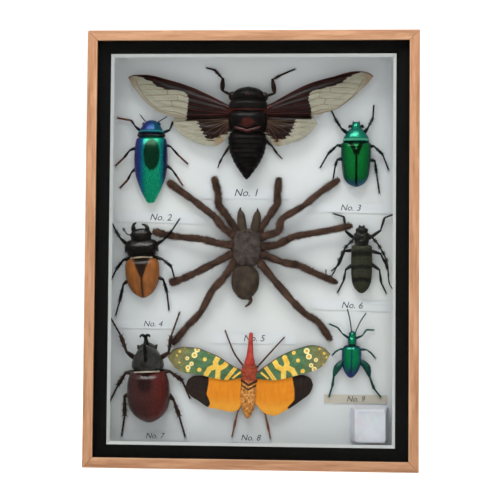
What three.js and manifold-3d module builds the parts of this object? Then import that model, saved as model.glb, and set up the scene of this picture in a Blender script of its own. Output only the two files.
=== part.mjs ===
// Wooden box frame with nine dried specimens fixed in a tray behind glass.
// Millimetres. The frame is built lying on its back, x right, y up the picture, z toward the viewer,
// and is stood upright at the end on its bottom rail.
import * as THREE from 'three';
import { mergeVertices } from 'three/addons/utils/BufferGeometryUtils.js';
import Module from 'manifold-3d';

const wasm = await Module();
wasm.setup();

// Driving dimensions
const WIDTH = 165;
const HEIGHT = 217;
const DEPTH = 30;
const RAIL_FACE = 5;
const RAIL_WALL = 3.6;
const LIP = 2.2;
const GAP = 0.2;

// Layers behind the lip, from the front
const GLASS = 2;
const MAT = 1.4;
const MAT_OPENING = [142.4, 194.8];
const TRAY_WALL = 1.2;
const TRAY_DEPTH = 18.4;
const TRAY_CORNER = 11.5;
const TRAY_FILLET = 6.5;
const BACK = 3;

const INNER = [WIDTH - 2 * (RAIL_WALL + GAP), HEIGHT - 2 * (RAIL_WALL + GAP)];
const GLASS_Z = DEPTH - LIP - GAP - GLASS;
const MAT_Z = GLASS_Z - GAP - MAT;
const TRAY_RIM = MAT_Z - GAP;
const FLOOR = TRAY_RIM - TRAY_DEPTH;
const BACK_Z = FLOOR - TRAY_WALL - GAP - BACK;

// Facets round a body and round a limb
const BODY_SIDES = 12;
const LIMB_SIDES = 5;

const look = (color, roughness, metalness = 0) =>
  new THREE.MeshStandardMaterial({ color, roughness, metalness });
const WOOD = look(0xbe8a5f, 0.55);
const PANE = look(0xdfe6e6, 0.05);
const BLACK_MAT = look(0x1c1c1c, 0.9);
const WHITE_TRAY = look(0xd2d0cb, 0.6);
const BOARD = look(0x8a6a48, 0.8);
const PAPER = look(0xe6e4dc, 0.8);
const HOLDER = look(0xcfc6b4, 0.6);

// A geometry as a closed solid with its faces pointing out
function toSolid(geometry) {
  const bare = geometry.clone();
  bare.deleteAttribute('normal');
  bare.deleteAttribute('uv');
  const merged = mergeVertices(bare, 1e-4);
  const points = merged.getAttribute('position').array;
  const faces = [];
  let volume = 0;
  for (let i = 0; i < merged.index.count; i += 3) {
    const [a, b, c] = [0, 1, 2].map((k) => merged.index.getX(i + k));
    if (a === b || b === c || c === a) continue;
    faces.push(a, b, c);
    const [p, q, r] = [a, b, c].map((k) => new THREE.Vector3().fromArray(points, 3 * k));
    volume += p.dot(q.cross(r));
  }
  if (volume < 0) faces.reverse();
  return new wasm.Manifold(new wasm.Mesh({
    numProp: 3,
    vertProperties: new Float32Array(points),
    triVerts: new Uint32Array(faces),
  }));
}

function toGeometry(solid) {
  const mesh = solid.getMesh();
  const geometry = new THREE.BufferGeometry();
  geometry.setAttribute('position', new THREE.BufferAttribute(mesh.vertProperties, 3));
  geometry.setIndex(new THREE.BufferAttribute(mesh.triVerts, 1));
  return geometry;
}

function fuse(pieces) {
  return toGeometry(pieces.map(toSolid).reduce((whole, piece) => whole.add(piece)));
}

function cut(piece, tool) {
  return toGeometry(toSolid(piece).subtract(toSolid(tool)));
}

function slab([width, height], z, thickness) {
  return new THREE.BoxGeometry(width, height, thickness).translate(0, 0, z + thickness / 2);
}

function outline(points) {
  return new THREE.Shape(points.map(([x, y]) => new THREE.Vector2(x, y)));
}

function plate(points, z, thickness) {
  const settings = { depth: thickness, bevelEnabled: false };
  return new THREE.ExtrudeGeometry(outline(points), settings).translate(0, 0, z);
}

function roundedBox([width, height], corner, depth, bevel, steps) {
  const [w, h] = [width / 2 - bevel, height / 2 - bevel];
  const r = corner - bevel;
  const shape = new THREE.Shape();
  shape.absarc(w - r, h - r, r, 0, Math.PI / 2);
  shape.absarc(r - w, h - r, r, Math.PI / 2, Math.PI);
  shape.absarc(r - w, r - h, r, Math.PI, 1.5 * Math.PI);
  shape.absarc(w - r, r - h, r, 1.5 * Math.PI, 2 * Math.PI);
  return new THREE.ExtrudeGeometry(shape, {
    depth: depth - 2 * bevel,
    bevelEnabled: bevel > 0,
    bevelSize: bevel,
    bevelThickness: bevel,
    bevelSegments: steps,
    curveSegments: 4,
  }).translate(0, 0, bevel);
}

// Frame pieces

// A rail lies along x with its outer edge at y = 0; both ends are mitred at 45 degrees.
function rail(length) {
  const strip = (wide, z, thick) => {
    const end = length / 2 - GAP / 2;
    return plate([[-end, 0], [end, 0], [end - wide, wide], [wide - end, wide]], z, thick);
  };
  return fuse([strip(RAIL_WALL, 0, DEPTH), strip(RAIL_FACE, DEPTH - LIP, LIP)]);
}

// The edge of the opening is cut at 45 degrees, widest on the front face.
function matBoard() {
  const over = 0.5;
  const bevel = MAT + 2 * over;
  const [w, h] = MAT_OPENING.map((side) => side / 2 - MAT - over);
  const tool = new THREE.ExtrudeGeometry(outline([[-w, -h], [w, -h], [w, h], [-w, h]]), {
    depth: 1,
    bevelSize: bevel,
    bevelThickness: bevel,
    bevelSegments: 1,
  });
  return cut(slab(INNER, MAT_Z, MAT), tool.translate(0, 0, MAT_Z - over + bevel));
}

function tray() {
  const inside = INNER.map((side) => side - 2 * TRAY_WALL);
  const hollow = roundedBox(inside, TRAY_CORNER, TRAY_DEPTH + 10, TRAY_FILLET, 4);
  return cut(slab(INNER, FLOOR - TRAY_WALL, TRAY_DEPTH + TRAY_WALL), hollow.translate(0, 0, FLOOR));
}

// The holder leans in at its sides: a wide foot and a smaller flat top.
function mothballBox() {
  const [foot, top, tall] = [[19.8, 18.8], [15.4, 16.6], 14];
  const block = new THREE.BoxGeometry(1, 1, tall).translate(0, 0, tall / 2);
  const points = block.getAttribute('position');
  for (let i = 0; i < points.count; i += 1) {
    const [width, height] = points.getZ(i) > 0 ? top : foot;
    points.setXY(i, points.getX(i) * width, points.getY(i) * height);
  }
  return block.translate(0, 0, GAP);
}

// Specimen shapes: x right, y toward the head, z above the tray floor

// A rounded body from half-widths along its length, head end first, domed by rise above its widest level.
function lobe(halfWidths, level, rise, drop, x = 0) {
  const widest = Math.max(...halfWidths.map(([wide]) => wide));
  const tips = [[0, halfWidths[0][1] + 0.2], [0, halfWidths.at(-1)[1] - 0.2]];
  const profile = [tips[0], ...halfWidths, tips[1]];
  const body = new THREE.LatheGeometry(profile.map(([r, y]) => new THREE.Vector2(r, y)), BODY_SIDES);
  const points = body.getAttribute('position');
  for (let i = 0; i < points.count; i += 1) {
    const z = points.getZ(i) / widest;
    points.setZ(i, level + z * (z > 0 ? rise : drop));
  }
  return body.translate(x, 0, 0);
}

// A jointed limb: a tapered tube with one ring on each joint, of the radius given there.
function limb(joints, radii) {
  const spots = joints.map((joint) => new THREE.Vector3(...joint));
  const last = spots.length - 1;
  const tube = new THREE.CylinderGeometry(1, 1, last, LIMB_SIDES, last);
  const points = tube.getAttribute('position');
  for (let i = 0; i < points.count; i += 1) {
    const ring = Math.round(last / 2 - points.getY(i));
    const along = spots[Math.min(ring + 1, last)].clone().sub(spots[Math.max(ring - 1, 0)]).normalize();
    const across = new THREE.Vector3(0, 0, 1).cross(along).normalize();
    const up = along.clone().cross(across);
    const spot = spots[ring].clone()
      .addScaledVector(across, points.getX(i) * radii[ring])
      .addScaledVector(up, points.getZ(i) * radii[ring]);
    points.setXYZ(i, spot.x, spot.y, spot.z);
  }
  return tube;
}

const ball = (x, y, z, radius) => new THREE.SphereGeometry(radius, 7, 5).translate(x, y, z);

function cicada() {
  const leg = [0.9, 1, 0.7, 0.5, 0.4];
  return fuse([
    lobe([[3.3, 21.5], [6.9, 19.9], [8.6, 17.4], [9.2, 13], [9.3, 5], [9, -1], [6, -4]], 6.5, 7, 5.5),
    lobe([[6, 1], [9.2, -2], [9.3, -5], [8.6, -10], [6.9, -15.3], [3.9, -20.4], [1.3, -24.5]], 6, 6, 5),
    ball(-8, 17.6, 7.5, 2.2),
    ball(8, 17.6, 7.5, 2.2),
    plate([[-6, 10], [-9.5, 12], [-19.5, 17], [-30, 21.5], [-47.5, 26.5], [-53.5, 27.5], [-62, 26],
      [-59.5, 22.5], [-55.5, 16.5], [-50, 11.5], [-45, 8], [-37.5, 6], [-31.5, 5.5],
      [-6, 7]].reverse(), 7.2, 0.6),
    plate([[-6, 9], [-29.5, 8], [-38, 6], [-38, 2.5], [-34.5, -2.5], [-29.5, -5.5], [-22, -8], [-17, -8.5],
      [-13, -6.5], [-6, 1]].reverse(), 6.2, 0.6),
    plate([[6, 9], [8.5, 11.5], [16, 16], [24, 21], [31, 24], [49.5, 30], [55.5, 31], [63, 28.5], [60.5, 25],
      [51.5, 16], [46.5, 12.5], [41.5, 10.5], [32.5, 8], [6, 7.5]], 7.2, 0.6),
    plate([[6, 9.5], [26.5, 8.5], [32.5, 8.5], [35.5, 5], [34, 1.5], [27, -4.5], [21.5, -6], [15.5, -8],
      [11.5, -5], [6, 0.5]], 6.2, 0.6),
    limb([[-6.5, 17, 5], [-14, 21, 4.5], [-13.5, 26.5, 4], [-18, 31.5, 2.5], [-22, 32.5, 1.5]], leg),
    limb([[6, 17, 5], [13.5, 19.5, 4.5], [12, 26.5, 4], [15.5, 29, 2.5], [23, 32.5, 1.5]], leg),
    limb([[-6, -3, 4], [-12.5, -13, 3], [-15, -18, 1.5]], [0.8, 0.6, 0.4]),
    limb([[6, -2, 4], [12.5, -7.5, 3], [17.5, -13.5, 1.5]], [0.8, 0.6, 0.4]),
  ]);
}

function jewelBeetle() {
  const leg = [0.9, 0.9, 0.7, 0.4];
  const feeler = [0.5, 0.4, 0.35];
  return fuse([
    lobe([[2.1, 20.2], [3.7, 18.8], [5, 17], [6, 15], [7.1, 13.6], [6.5, 11.6]], 3.5, 5, 3),
    lobe([[6.2, 12.2], [7.5, 10.8], [8.4, 6.2], [8.6, 0.5], [7.9, -7.7], [6.1, -12.9], [4.6, -16.5],
      [2.8, -20], [1, -21.7]], 3.5, 6, 3),
    limb([[-5, 14.5, 3], [-8.5, 17.5, 4], [-10.5, 20.5, 2.5], [-17.5, 22, 1.2]], leg),
    limb([[5.5, 14, 3], [9.5, 15.5, 4], [11, 20, 2.5], [16.5, 20.5, 1.2]], leg),
    limb([[-6.5, 7, 3], [-11, 5, 4], [-14, 1.5, 2.5], [-18.5, -2.5, 1.2]], leg),
    limb([[6.5, 8, 3], [10, 7, 4], [14, 2.5, 2.5], [18.5, -1.5, 1.2]], leg),
    limb([[-6.5, -3, 3], [-10, -6.5, 4], [-12, -10, 2.5], [-16, -14, 1.2]], leg),
    limb([[6.5, -1.5, 3], [11, -5, 4.4], [13.5, -8.5, 4.4], [16.5, -13, 4.8]], leg),
    limb([[-1.5, 18.5, 3.5], [-4.5, 21.5, 3], [-6, 23.5, 3]], feeler),
    limb([[1.5, 18.5, 3.5], [5.5, 21, 3], [8, 22.5, 3]], feeler),
  ]);
}

function flowerBeetle() {
  const leg = [1, 0.9, 0.7, 0.4];
  return fuse([
    lobe([[1.6, 16.8], [2.1, 15.8], [2.8, 13.5], [2.8, 11.5]], 3.2, 2.2, 2),
    lobe([[2.8, 13.6], [4.1, 12.3], [5.5, 10.4], [6.4, 8.7], [6.8, 6.2]], 3.2, 5, 2.6),
    lobe([[6.6, 6.8], [7.7, 5.1], [7.7, 1], [7.5, -2.5], [6.8, -9.2], [6.3, -11.2], [4.4, -14.3],
      [1.8, -15.8]], 3.2, 6, 2.6),
    ball(-2.6, 14.8, 3, 1.1),
    ball(2.6, 14.8, 3, 1.1),
    limb([[-3.5, 10.5, 3], [-7.5, 13.5, 4], [-10.5, 18.5, 2.5], [-13, 24, 1.2]], leg),
    limb([[3.5, 10.5, 3], [6, 14, 4], [8.5, 19, 2.5], [9, 25.5, 1.2]], leg),
    limb([[-6, 4.5, 3], [-9.5, 5, 4], [-14, 1, 2.5], [-18, -6, 1.2]], leg),
    limb([[6, 4.5, 3], [9, 4.5, 4], [13.5, 0.5, 2.5], [16.5, -7, 1.2]], leg),
    limb([[-6, -1.5, 3], [-9.5, -2.5, 4.5], [-10.5, -5.5, 4.8], [-11.5, -12, 4.8]], leg),
    limb([[6, -2, 3], [9.5, -3, 4], [10.5, -9, 2.5], [12, -19, 1.2]], leg),
  ]);
}

function stagBeetle() {
  const leg = [1.1, 1, 0.9, 0.45];
  const jaw = [1.3, 1.1, 0.5];
  return fuse([
    limb([[-2.8, 15.5, 3.2], [-3.4, 18, 3.2], [-2.3, 20, 3.2]], jaw),
    limb([[2.4, 15.5, 3.2], [2.8, 17.3, 3.2], [0.7, 19.2, 3.2]], jaw),
    lobe([[3.6, 16.7], [5, 15.4], [5.2, 13.6], [5.1, 10.5]], 3.2, 3.5, 2.4),
    lobe([[5.5, 11.3], [7.3, 9.7], [8.1, 8.2], [8.2, 5.9], [6.4, 3.2], [5.3, 1.2]], 3.2, 4.6, 2.6),
    lobe([[6.9, 1.8], [8.3, 0], [8.8, -2.6], [8.7, -6.7], [7.7, -10.7], [6.3, -13.8], [4.5, -16.1],
      [2.1, -17.7]], 3.2, 5.4, 2.6),
    limb([[-6, 8, 3], [-10.5, 12.5, 4], [-13, 16.5, 2.5], [-16, 23, 1.2]], leg),
    limb([[6, 8, 3], [11.5, 10.5, 5.2], [16, 15, 5.2], [20, 21, 3]], leg),
    limb([[-5, 2.5, 3], [-9.5, 1.5, 4], [-13.5, -3, 2.5], [-17.5, -10, 1.2]], leg),
    limb([[5, 2.5, 3], [10.5, 1, 4], [15, -3, 4.2], [16.5, -9.5, 4.8]], leg),
    limb([[-6, -8, 3], [-10, -11, 4], [-12.5, -19.5, 2.5], [-15, -26.5, 1.2]], leg),
    limb([[6.5, -7.5, 3], [10.5, -9.5, 4], [12, -16, 2.5], [12.5, -25, 1.2]], leg),
    limb([[-4, 14, 3.2], [-7, 14.5, 3], [-9, 17.5, 3]], [0.5, 0.5, 0.7]),
  ]);
}

function tarantula() {
  const leg = [1.5, 1.5, 1.45, 1.3, 1.2, 1.1];
  const side = [1.5, 1.5, 1.4, 1.2, 1.1];
  const palp = [1.4, 1.5, 1.4, 1.3, 1.1];
  const fang = [2, 2.2, 1.3];
  return fuse([
    lobe([[4.1, 13], [6.2, 11.2], [7.4, 7.6], [7.5, 2.5], [6.9, -1.5], [4.6, -5],
      [2.5, -6.5]], 4.5, 4.5, 3.5),
    lobe([[2, -5.2], [4.6, -7.1], [6.5, -9.7], [6.9, -13.2], [6.5, -16.8], [4.7, -19.8],
      [1.8, -22.1]], 4.6, 6, 3.8),
    limb([[-2.8, 10, 5], [-3.5, 17, 4.5], [-4.5, 22.5, 3]], fang),
    limb([[3.6, 10, 5], [4.5, 17.5, 4.5], [4.5, 23, 3]], fang),
    limb([[2.2, -20.5, 4], [3.5, -23.5, 3], [1.5, -26.5, 2]], [0.9, 0.8, 0.5]),
    limb([[-4, 10, 4], [-11.5, 20, 5], [-16, 25, 4], [-16, 30.5, 3], [-19, 39.5, 2]], palp),
    limb([[4, 10, 4], [10.5, 20, 5], [14.5, 27, 4], [14, 31, 3], [14.5, 40.5, 2]], palp),
    limb([[-5, 8, 4.5], [-13, 13.5, 6], [-17, 18.5, 5.5], [-29, 27, 4], [-37, 32, 2.4], [-42.5, 36, 2]], leg),
    limb([[-5.5, 4.5, 4.5], [-14, 5, 6], [-23, 7, 5.5], [-34, 7.5, 4], [-42.5, 8.5, 2.4], [-49, 10, 2]], leg),
    limb([[-5.5, 1.5, 4.5], [-16, -5, 6], [-26, -10.5, 4], [-34, -14.5, 2.4], [-39, -16, 2]], side),
    limb([[-4.5, -1.5, 4.5], [-11, -12.5, 6], [-16.5, -18.5, 5.5], [-22, -30.5, 4], [-29, -38, 2.4],
      [-36, -47.5, 2]], leg),
    limb([[4.5, 8.5, 4.5], [16, 12.5, 6], [16.5, 19, 5.5], [28, 26.5, 4], [35.5, 33.5, 2.4],
      [45.5, 41, 2]], leg),
    limb([[5.5, 4.5, 4.5], [15, 5.5, 6], [23.5, 10.5, 6], [33, 12.5, 5], [42, 14.5, 5], [53, 17.5, 5]], leg),
    limb([[5.5, 1.5, 4.5], [18.5, -3, 6], [26.5, -4, 4], [35, -7.5, 2.4], [47, -12, 2]], side),
    limb([[5, -1.5, 4.5], [14.5, -12, 6], [24.5, -22.5, 5.5], [31, -28.5, 4], [38, -32, 2.4],
      [45, -41.5, 2]], leg),
  ]);
}

function longhornBeetle() {
  const leg = [0.9, 0.8, 0.6, 0.4];
  return fuse([
    lobe([[1.3, 18], [2.3, 16.7], [3, 15.2], [2.6, 13.5]], 3.2, 2.8, 2.2),
    lobe([[3, 15.2], [3.8, 14.2], [3.8, 12.2], [3.2, 8.8], [3, 7.5]], 3.2, 3.2, 2.4),
    lobe([[4.4, 8.6], [5.2, 7.6], [5.3, 2.5], [5.3, -4.1], [4.8, -9.5], [3.7, -12.8], [2, -14.7],
      [0.8, -15.7]], 3.2, 4, 2.6),
    limb([[-2.5, 11, 2.5], [-8, 15.5, 2], [-9, 23, 1.5], [-14, 24.5, 1.2]], leg),
    limb([[2.5, 11, 2.5], [9.5, 16, 3.5], [11.5, 22.5, 2.4], [16.5, 24.5, 1.2]], leg),
    limb([[-3.5, 6, 2.5], [-8.5, 5.5, 3], [-11.5, -1.5, 1.6], [-15, -4.5, 1.2]], leg),
    limb([[3.5, 6, 2.5], [10, 4, 3], [13, -3, 1.2]], [0.9, 0.8, 0.4]),
    limb([[-3.5, -0.5, 2.5], [-8, -4, 3.5], [-9, -9.5, 2], [-12, -15.5, 1.2]], leg),
    limb([[3.5, 0, 2.5], [9, -4, 3.5], [10, -10.5, 2], [12.5, -15.5, 1.2]], leg),
    limb([[-1.6, 15.5, 4], [-5, 10.5, 5], [-8, 7.5, 5], [-11, 1.5, 5], [-13.5, -4.5, 5], [-16, -7.5, 5],
      [-18, -4, 5]], [0.6, 0.6, 0.9, 0.5, 0.5, 0.4, 0.4]),
    limb([[1.6, 15.5, 4], [5.5, 12, 5], [8.5, 8.5, 5], [13, -1.5, 4], [14, -10.5, 3], [16, -14, 2.5]],
      [0.6, 0.6, 0.9, 0.5, 0.4, 0.4]),
  ]);
}

function rhinocerosBeetle() {
  const leg = [1.4, 1.3, 1.1, 0.5];
  return fuse([
    limb([[0, 15.5, 6], [0, 20, 9], [0, 21.5, 11.5]], [1.4, 1.1, 0.9]),
    limb([[-1.9, 21.8, 12.4], [0, 21, 11.2], [2.2, 21.8, 12.4]], [0.5, 0.8, 0.5]),
    lobe([[2, 19], [3.7, 17.7], [4.6, 15.7], [4.4, 13.5]], 5, 4, 3.5),
    lobe([[2.4, 17.2], [4.9, 15.2], [6.1, 13.2], [7.3, 11.1], [8, 9.1], [8.2, 7.1], [7, 3.8]], 5, 8.2, 4.2),
    limb([[0, 7.5, 11], [0, 14, 13.2], [0, 19.5, 14.6]], [2, 1.4, 0.7]),
    lobe([[8.4, 4.6], [9.5, 2.5], [10.7, -2.5], [10.9, -6.6], [10.7, -10.1], [9.9, -13.7], [8.2, -16.7],
      [5.7, -19.2], [1.7, -21.2]], 5, 8.5, 4.4),
    limb([[-5, 10, 4], [-10.5, 14.5, 6], [-13.5, 23, 5], [-19.5, 33, 1.5]], leg),
    limb([[5, 10, 4], [11, 13.5, 7], [12.5, 22, 6.2], [16.5, 33.5, 1.5]], leg),
    limb([[-5.5, 4, 3.5], [-11.5, 4, 5], [-16, -2.5, 3], [-20.5, -10.5, 1.3]], leg),
    limb([[5.5, 4, 3.5], [11, 4, 4.5], [17, -1, 2.2], [20.5, -10, 1.3]], leg),
    limb([[-8.5, -6.5, 3.5], [-12.5, -8, 4], [-13, -18, 2.5], [-15, -28, 1.3]], leg),
    limb([[8.5, -6.5, 3.5], [12.5, -10.5, 4], [15, -19, 2.5], [17.5, -29.5, 1.3]], leg),
    limb([[-3.2, 16, 4.5], [-5.2, 17.5, 4.5]], [0.6, 0.9]),
  ]);
}

function lanternfly() {
  const leg = [0.6, 0.5, 0.4];
  return fuse([
    lobe([[0.8, 24], [1.1, 22.8], [1.3, 17.7], [1.8, 12.2], [2.5, 8.6], [2.5, 6.5]], 4.4, 2.2, 2.2),
    lobe([[2.7, 8.6], [3.5, 7.1], [4.1, 4], [4.1, -0.5], [3, -3]], 4, 3.4, 3.2),
    lobe([[3, 1], [4.1, -1], [4.1, -5], [3.8, -10.1], [2.5, -15.7], [0.8, -19.2]], 3.8, 3, 3),
    plate([[-2, 4], [-9.5, 7], [-14.5, 10.5], [-21, 13], [-27.5, 15], [-34, 15], [-39, 13.5], [-42, 9.5],
      [-39, 5.5], [-35, 2.5], [-31.5, 1.5], [-25, 2], [-20.5, 0.5], [-12, -0.5],
      [-2, 1.5]].reverse(), 4.7, 0.6),
    plate([[-2, 3], [-20.5, 1], [-27.5, 1], [-31.5, -1], [-32, -5.5], [-29.5, -9.5], [-20, -15],
      [-14.5, -15.5], [-9, -16.5], [-5, -15.5], [-2, -9]].reverse(), 3.9, 0.6),
    plate([[2, 2], [7, 6.5], [15, 13], [25, 17.5], [31.5, 19], [36.5, 18], [40.5, 15], [38, 10], [34.5, 7],
      [30, 5.5], [18, 1.5], [12, 0.5], [2, 1]], 4.7, 0.6),
    plate([[2, 2.5], [20.5, 3], [27, 4], [31, 3], [32.5, -0.5], [31.5, -5], [23, -12], [19, -14.5],
      [13.5, -17.5], [9, -16.5], [5.5, -13.5], [2, -9]], 3.9, 0.6),
    limb([[-2.5, 6, 3], [-8, 13, 3], [-13.5, 24.5, 1.2]], leg),
    limb([[2.5, 5, 3], [7, 10.5, 3], [17, 22.5, 1.2]], leg),
    limb([[-2, -6.5, 3], [-5, -16, 2.5], [-7.5, -29, 1.2]], leg),
    limb([[2.5, -7, 3], [9, -17, 2.5], [12, -29, 1.2]], leg),
  ]);
}

function leafBeetle() {
  const leg = [0.7, 0.6, 0.5, 0.4];
  const hind = [0.9, 1.8, 0.9, 0.6, 0.4];
  const feeler = [0.5, 0.45, 0.4];
  return fuse([
    lobe([[1.1, 11.9], [1.4, 11.1], [1.8, 9.6], [1.8, 8]], 3, 2.2, 1.8),
    lobe([[1.9, 9.6], [2.3, 8.6], [2.2, 6.6], [2, 4]], 3, 2.8, 2),
    lobe([[3.5, 4.8], [4.5, 3.5], [4.9, 1.5], [5, -1], [4.8, -3.5], [4.5, -5.6], [3.5, -8.1], [2.2, -10.1],
      [0.6, -11.2]], 3, 4, 2.5),
    limb([[-0.3, 10.5, 3.5], [-1.5, 17.5, 3.5], [-3, 23, 2.5]], feeler),
    limb([[1, 10.5, 3.5], [4, 17.5, 3.5], [6.5, 21.5, 2.5]], feeler),
    limb([[-1, 8, 2.5], [-5, 10.5, 3.2], [-7.5, 13.5, 2], [-11.5, 15, 1.2]], leg),
    limb([[1, 8, 2.5], [5, 10, 3.2], [7, 13, 2], [10.5, 13, 1.2]], leg),
    limb([[-3, 3, 2.5], [-7.5, 2, 2.5], [-9.5, -0.5, 1.2]], [0.7, 0.5, 0.4]),
    limb([[3, 3, 2.5], [7.5, 3, 2.5], [12, -1, 1.2]], [0.7, 0.5, 0.4]),
    limb([[-3.5, -2.5, 2.5], [-7, -7, 3], [-8.5, -11, 2.5], [-9, -16, 1.8], [-10.5, -21.5, 1.2]], hind),
    limb([[3.5, -2, 2.5], [8, -6, 3], [9.5, -10.5, 2.5], [12, -16.5, 1.8], [15.5, -20.5, 1.2]], hind),
  ]);
}

// Assembly

const lying = new THREE.Group();

function put(name, geometry, material, [x, y, z] = [0, 0, 0], degrees = 0) {
  const mesh = new THREE.Mesh(geometry, material);
  mesh.name = name;
  mesh.position.set(x, y, z);
  mesh.rotation.z = THREE.MathUtils.degToRad(degrees);
  lying.add(mesh);
}

put('rail_bottom', rail(WIDTH), WOOD, [0, -HEIGHT / 2, 0]);
put('rail_top', rail(WIDTH), WOOD, [0, HEIGHT / 2, 0], 180);
put('rail_left', rail(HEIGHT), WOOD, [-WIDTH / 2, 0, 0], -90);
put('rail_right', rail(HEIGHT), WOOD, [WIDTH / 2, 0, 0], 90);
put('glass', slab(INNER, GLASS_Z, GLASS), PANE);
put('mat_board', matBoard(), BLACK_MAT);
put('tray', tray(), WHITE_TRAY);
put('back_board', slab(INNER, BACK_Z, BACK), BOARD);
put('mothball_box', mothballBox(), HOLDER, [59.4, -87.4, FLOOR]);

// Paper strips: centre on the tray, size, and how far each one leans
const STRIP = 0.3;
const LABELS = [
  [-4, 29.4, 46, 6, 0],
  [-48, 16.6, 47.8, 5.4, -1.2],
  [49.4, 22, 44, 5, -1.2],
  [-51.4, -38.1, 40.8, 4.7, 0],
  [0.6, -45, 43, 5.2, 0],
  [50.4, -27.7, 40.5, 5.2, -1.5],
  [-49.8, -95.2, 36, 4.5, 0],
  [-0.7, -95.5, 21, 4.8, 0],
  [52.5, -75.2, 32, 4.4, 0],
];
LABELS.forEach(([x, y, width, height, lean], i) => {
  put(`label_${i + 1}`, slab([width, height], GAP, STRIP), PAPER, [x, y, FLOOR], lean);
});

// Specimens: body centre on the tray and how far the body leans
put('cicada', cicada(), look(0x30261f, 0.5), [-3.1, 60.9, FLOOR], -0.9);
put('jewel_beetle', jewelBeetle(), look(0x168a72, 0.25, 0.7), [-52.8, 45.9, FLOOR]);
put('flower_beetle', flowerBeetle(), look(0x177048, 0.25, 0.6), [52, 48.7, FLOOR]);
put('stag_beetle', stagBeetle(), look(0x8a5426, 0.35), [-56.8, -6.4, FLOOR], 3);
put('tarantula', tarantula(), look(0x4b372d, 0.9), [-3.2, -2.5, FLOOR], -2.3);
put('longhorn_beetle', longhornBeetle(), look(0x2a2a20, 0.6), [55.1, -5.6, FLOOR]);
put('rhinoceros_beetle', rhinocerosBeetle(), look(0x3c2a28, 0.3), [-52.7, -66.4, FLOOR], 2.3);
put('lanternfly', lanternfly(), look(0xb07a2c, 0.6), [-1.5, -65.9, FLOOR], -2.1);
put('leaf_beetle', leafBeetle(), look(0x14785a, 0.25, 0.6), [50.3, -52.7, FLOOR], -2);

// Stood up: the glass faces -y and the bottom rail rests on z = 0.
lying.rotation.x = Math.PI / 2;
lying.position.set(0, DEPTH / 2, HEIGHT / 2);

const part = new THREE.Group();
part.add(lying);
export default part;
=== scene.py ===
"""Nine dried specimens in a glazed wooden box frame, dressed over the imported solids."""

import math

import bmesh
import bpy
import numpy as np
from mathutils import Euler, Matrix, Vector


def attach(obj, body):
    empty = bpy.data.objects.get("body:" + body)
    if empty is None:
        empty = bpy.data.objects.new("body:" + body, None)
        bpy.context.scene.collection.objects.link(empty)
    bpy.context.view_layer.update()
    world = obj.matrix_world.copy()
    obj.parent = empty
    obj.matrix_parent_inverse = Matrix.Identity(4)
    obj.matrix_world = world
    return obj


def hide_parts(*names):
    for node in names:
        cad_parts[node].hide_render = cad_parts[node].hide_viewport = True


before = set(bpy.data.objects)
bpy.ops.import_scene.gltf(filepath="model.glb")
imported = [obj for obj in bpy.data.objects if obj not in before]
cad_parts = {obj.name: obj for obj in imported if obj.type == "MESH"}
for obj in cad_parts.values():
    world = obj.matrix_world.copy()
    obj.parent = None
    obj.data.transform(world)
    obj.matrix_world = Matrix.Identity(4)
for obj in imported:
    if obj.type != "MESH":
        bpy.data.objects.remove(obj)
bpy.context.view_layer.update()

# Sizes in millimetres unless a name says otherwise
MM = 0.001
WIDTH = 165
HEIGHT = 217
DEPTH = 30
RAIL_FACE = 5
RAIL_WALL = 3.6
LIP = 2.2
GAP = 0.2
INNER = (WIDTH - 2 * (RAIL_WALL + GAP), HEIGHT - 2 * (RAIL_WALL + GAP))
TRAY_WALL = 1.2
TRAY_DEPTH = 18.4
TRAY_CORNER = 11.5
TRAY_FILLET = 6.5
FLOOR_Y = 9.6
RANDOM = np.random.default_rng(11)


# Curves and distances


def smooth(at, xs, ys):
    """Values of a smooth curve through points, with no overshoot between them."""
    xs, ys = np.asarray(xs, float), np.asarray(ys, float)
    step = np.diff(xs)
    slope = np.diff(ys) / step
    both = slope[1:] * slope[:-1]
    total = slope[1:] + slope[:-1]
    middle = np.where(both > 0, 2 * both / np.where(both > 0, total, 1), 0)
    m = np.concatenate([slope[:1], middle, slope[-1:]])
    k = np.clip(np.searchsorted(xs, at) - 1, 0, len(step) - 1)
    t = (at - xs[k]) / step[k]
    start = (1 + 2 * t) * (1 - t) ** 2 * ys[k] + t * (1 - t) ** 2 * step[k] * m[k]
    end = t * t * (3 - 2 * t) * ys[k + 1] + t * t * (t - 1) * step[k] * m[k + 1]
    return start + end


def along_line(points, count):
    """Evenly spaced points on a smooth line through the given ones."""
    points = np.asarray(points, float)
    run = np.concatenate([[0], np.cumsum(np.linalg.norm(np.diff(points, axis=0), axis=1))])
    at = np.linspace(0, run[-1], count)
    return np.stack([smooth(at, run, column) for column in points.T], axis=1)


def line_gap(points, line):
    """Distance from points to a line of straight stretches, seen from above."""
    p = np.asarray(points)[:, None, :2]
    a, b = np.asarray(line[:-1], float), np.asarray(line[1:], float)
    share = np.clip(np.sum((p - a) * (b - a), 2) / np.sum((b - a) ** 2, 1), 0, 1)
    return np.linalg.norm(p - a - share[..., None] * (b - a), axis=2).min(axis=1)


def outline_gap(points, outline):
    """Distance from points to a closed outline, negative inside it."""
    p = np.asarray(points)
    a = np.asarray(outline, float)
    b = np.roll(a, -1, axis=0)
    x, y = p[:, None, 0], p[:, None, 1]
    slant = (b[:, 0] - a[:, 0]) / (b[:, 1] - a[:, 1] + 1e-9)
    crossed = ((a[:, 1] > y) != (b[:, 1] > y)) & (x < a[:, 0] + (y - a[:, 1]) * slant)
    inside = crossed.sum(axis=1) % 2 == 1
    gap = line_gap(p, [*outline, outline[0]])
    return np.where(inside, -gap, gap)


def fade(gap, width):
    """One well inside, none well outside, half on the line itself."""
    return np.clip(0.5 - gap / width, 0, 1)


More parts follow.
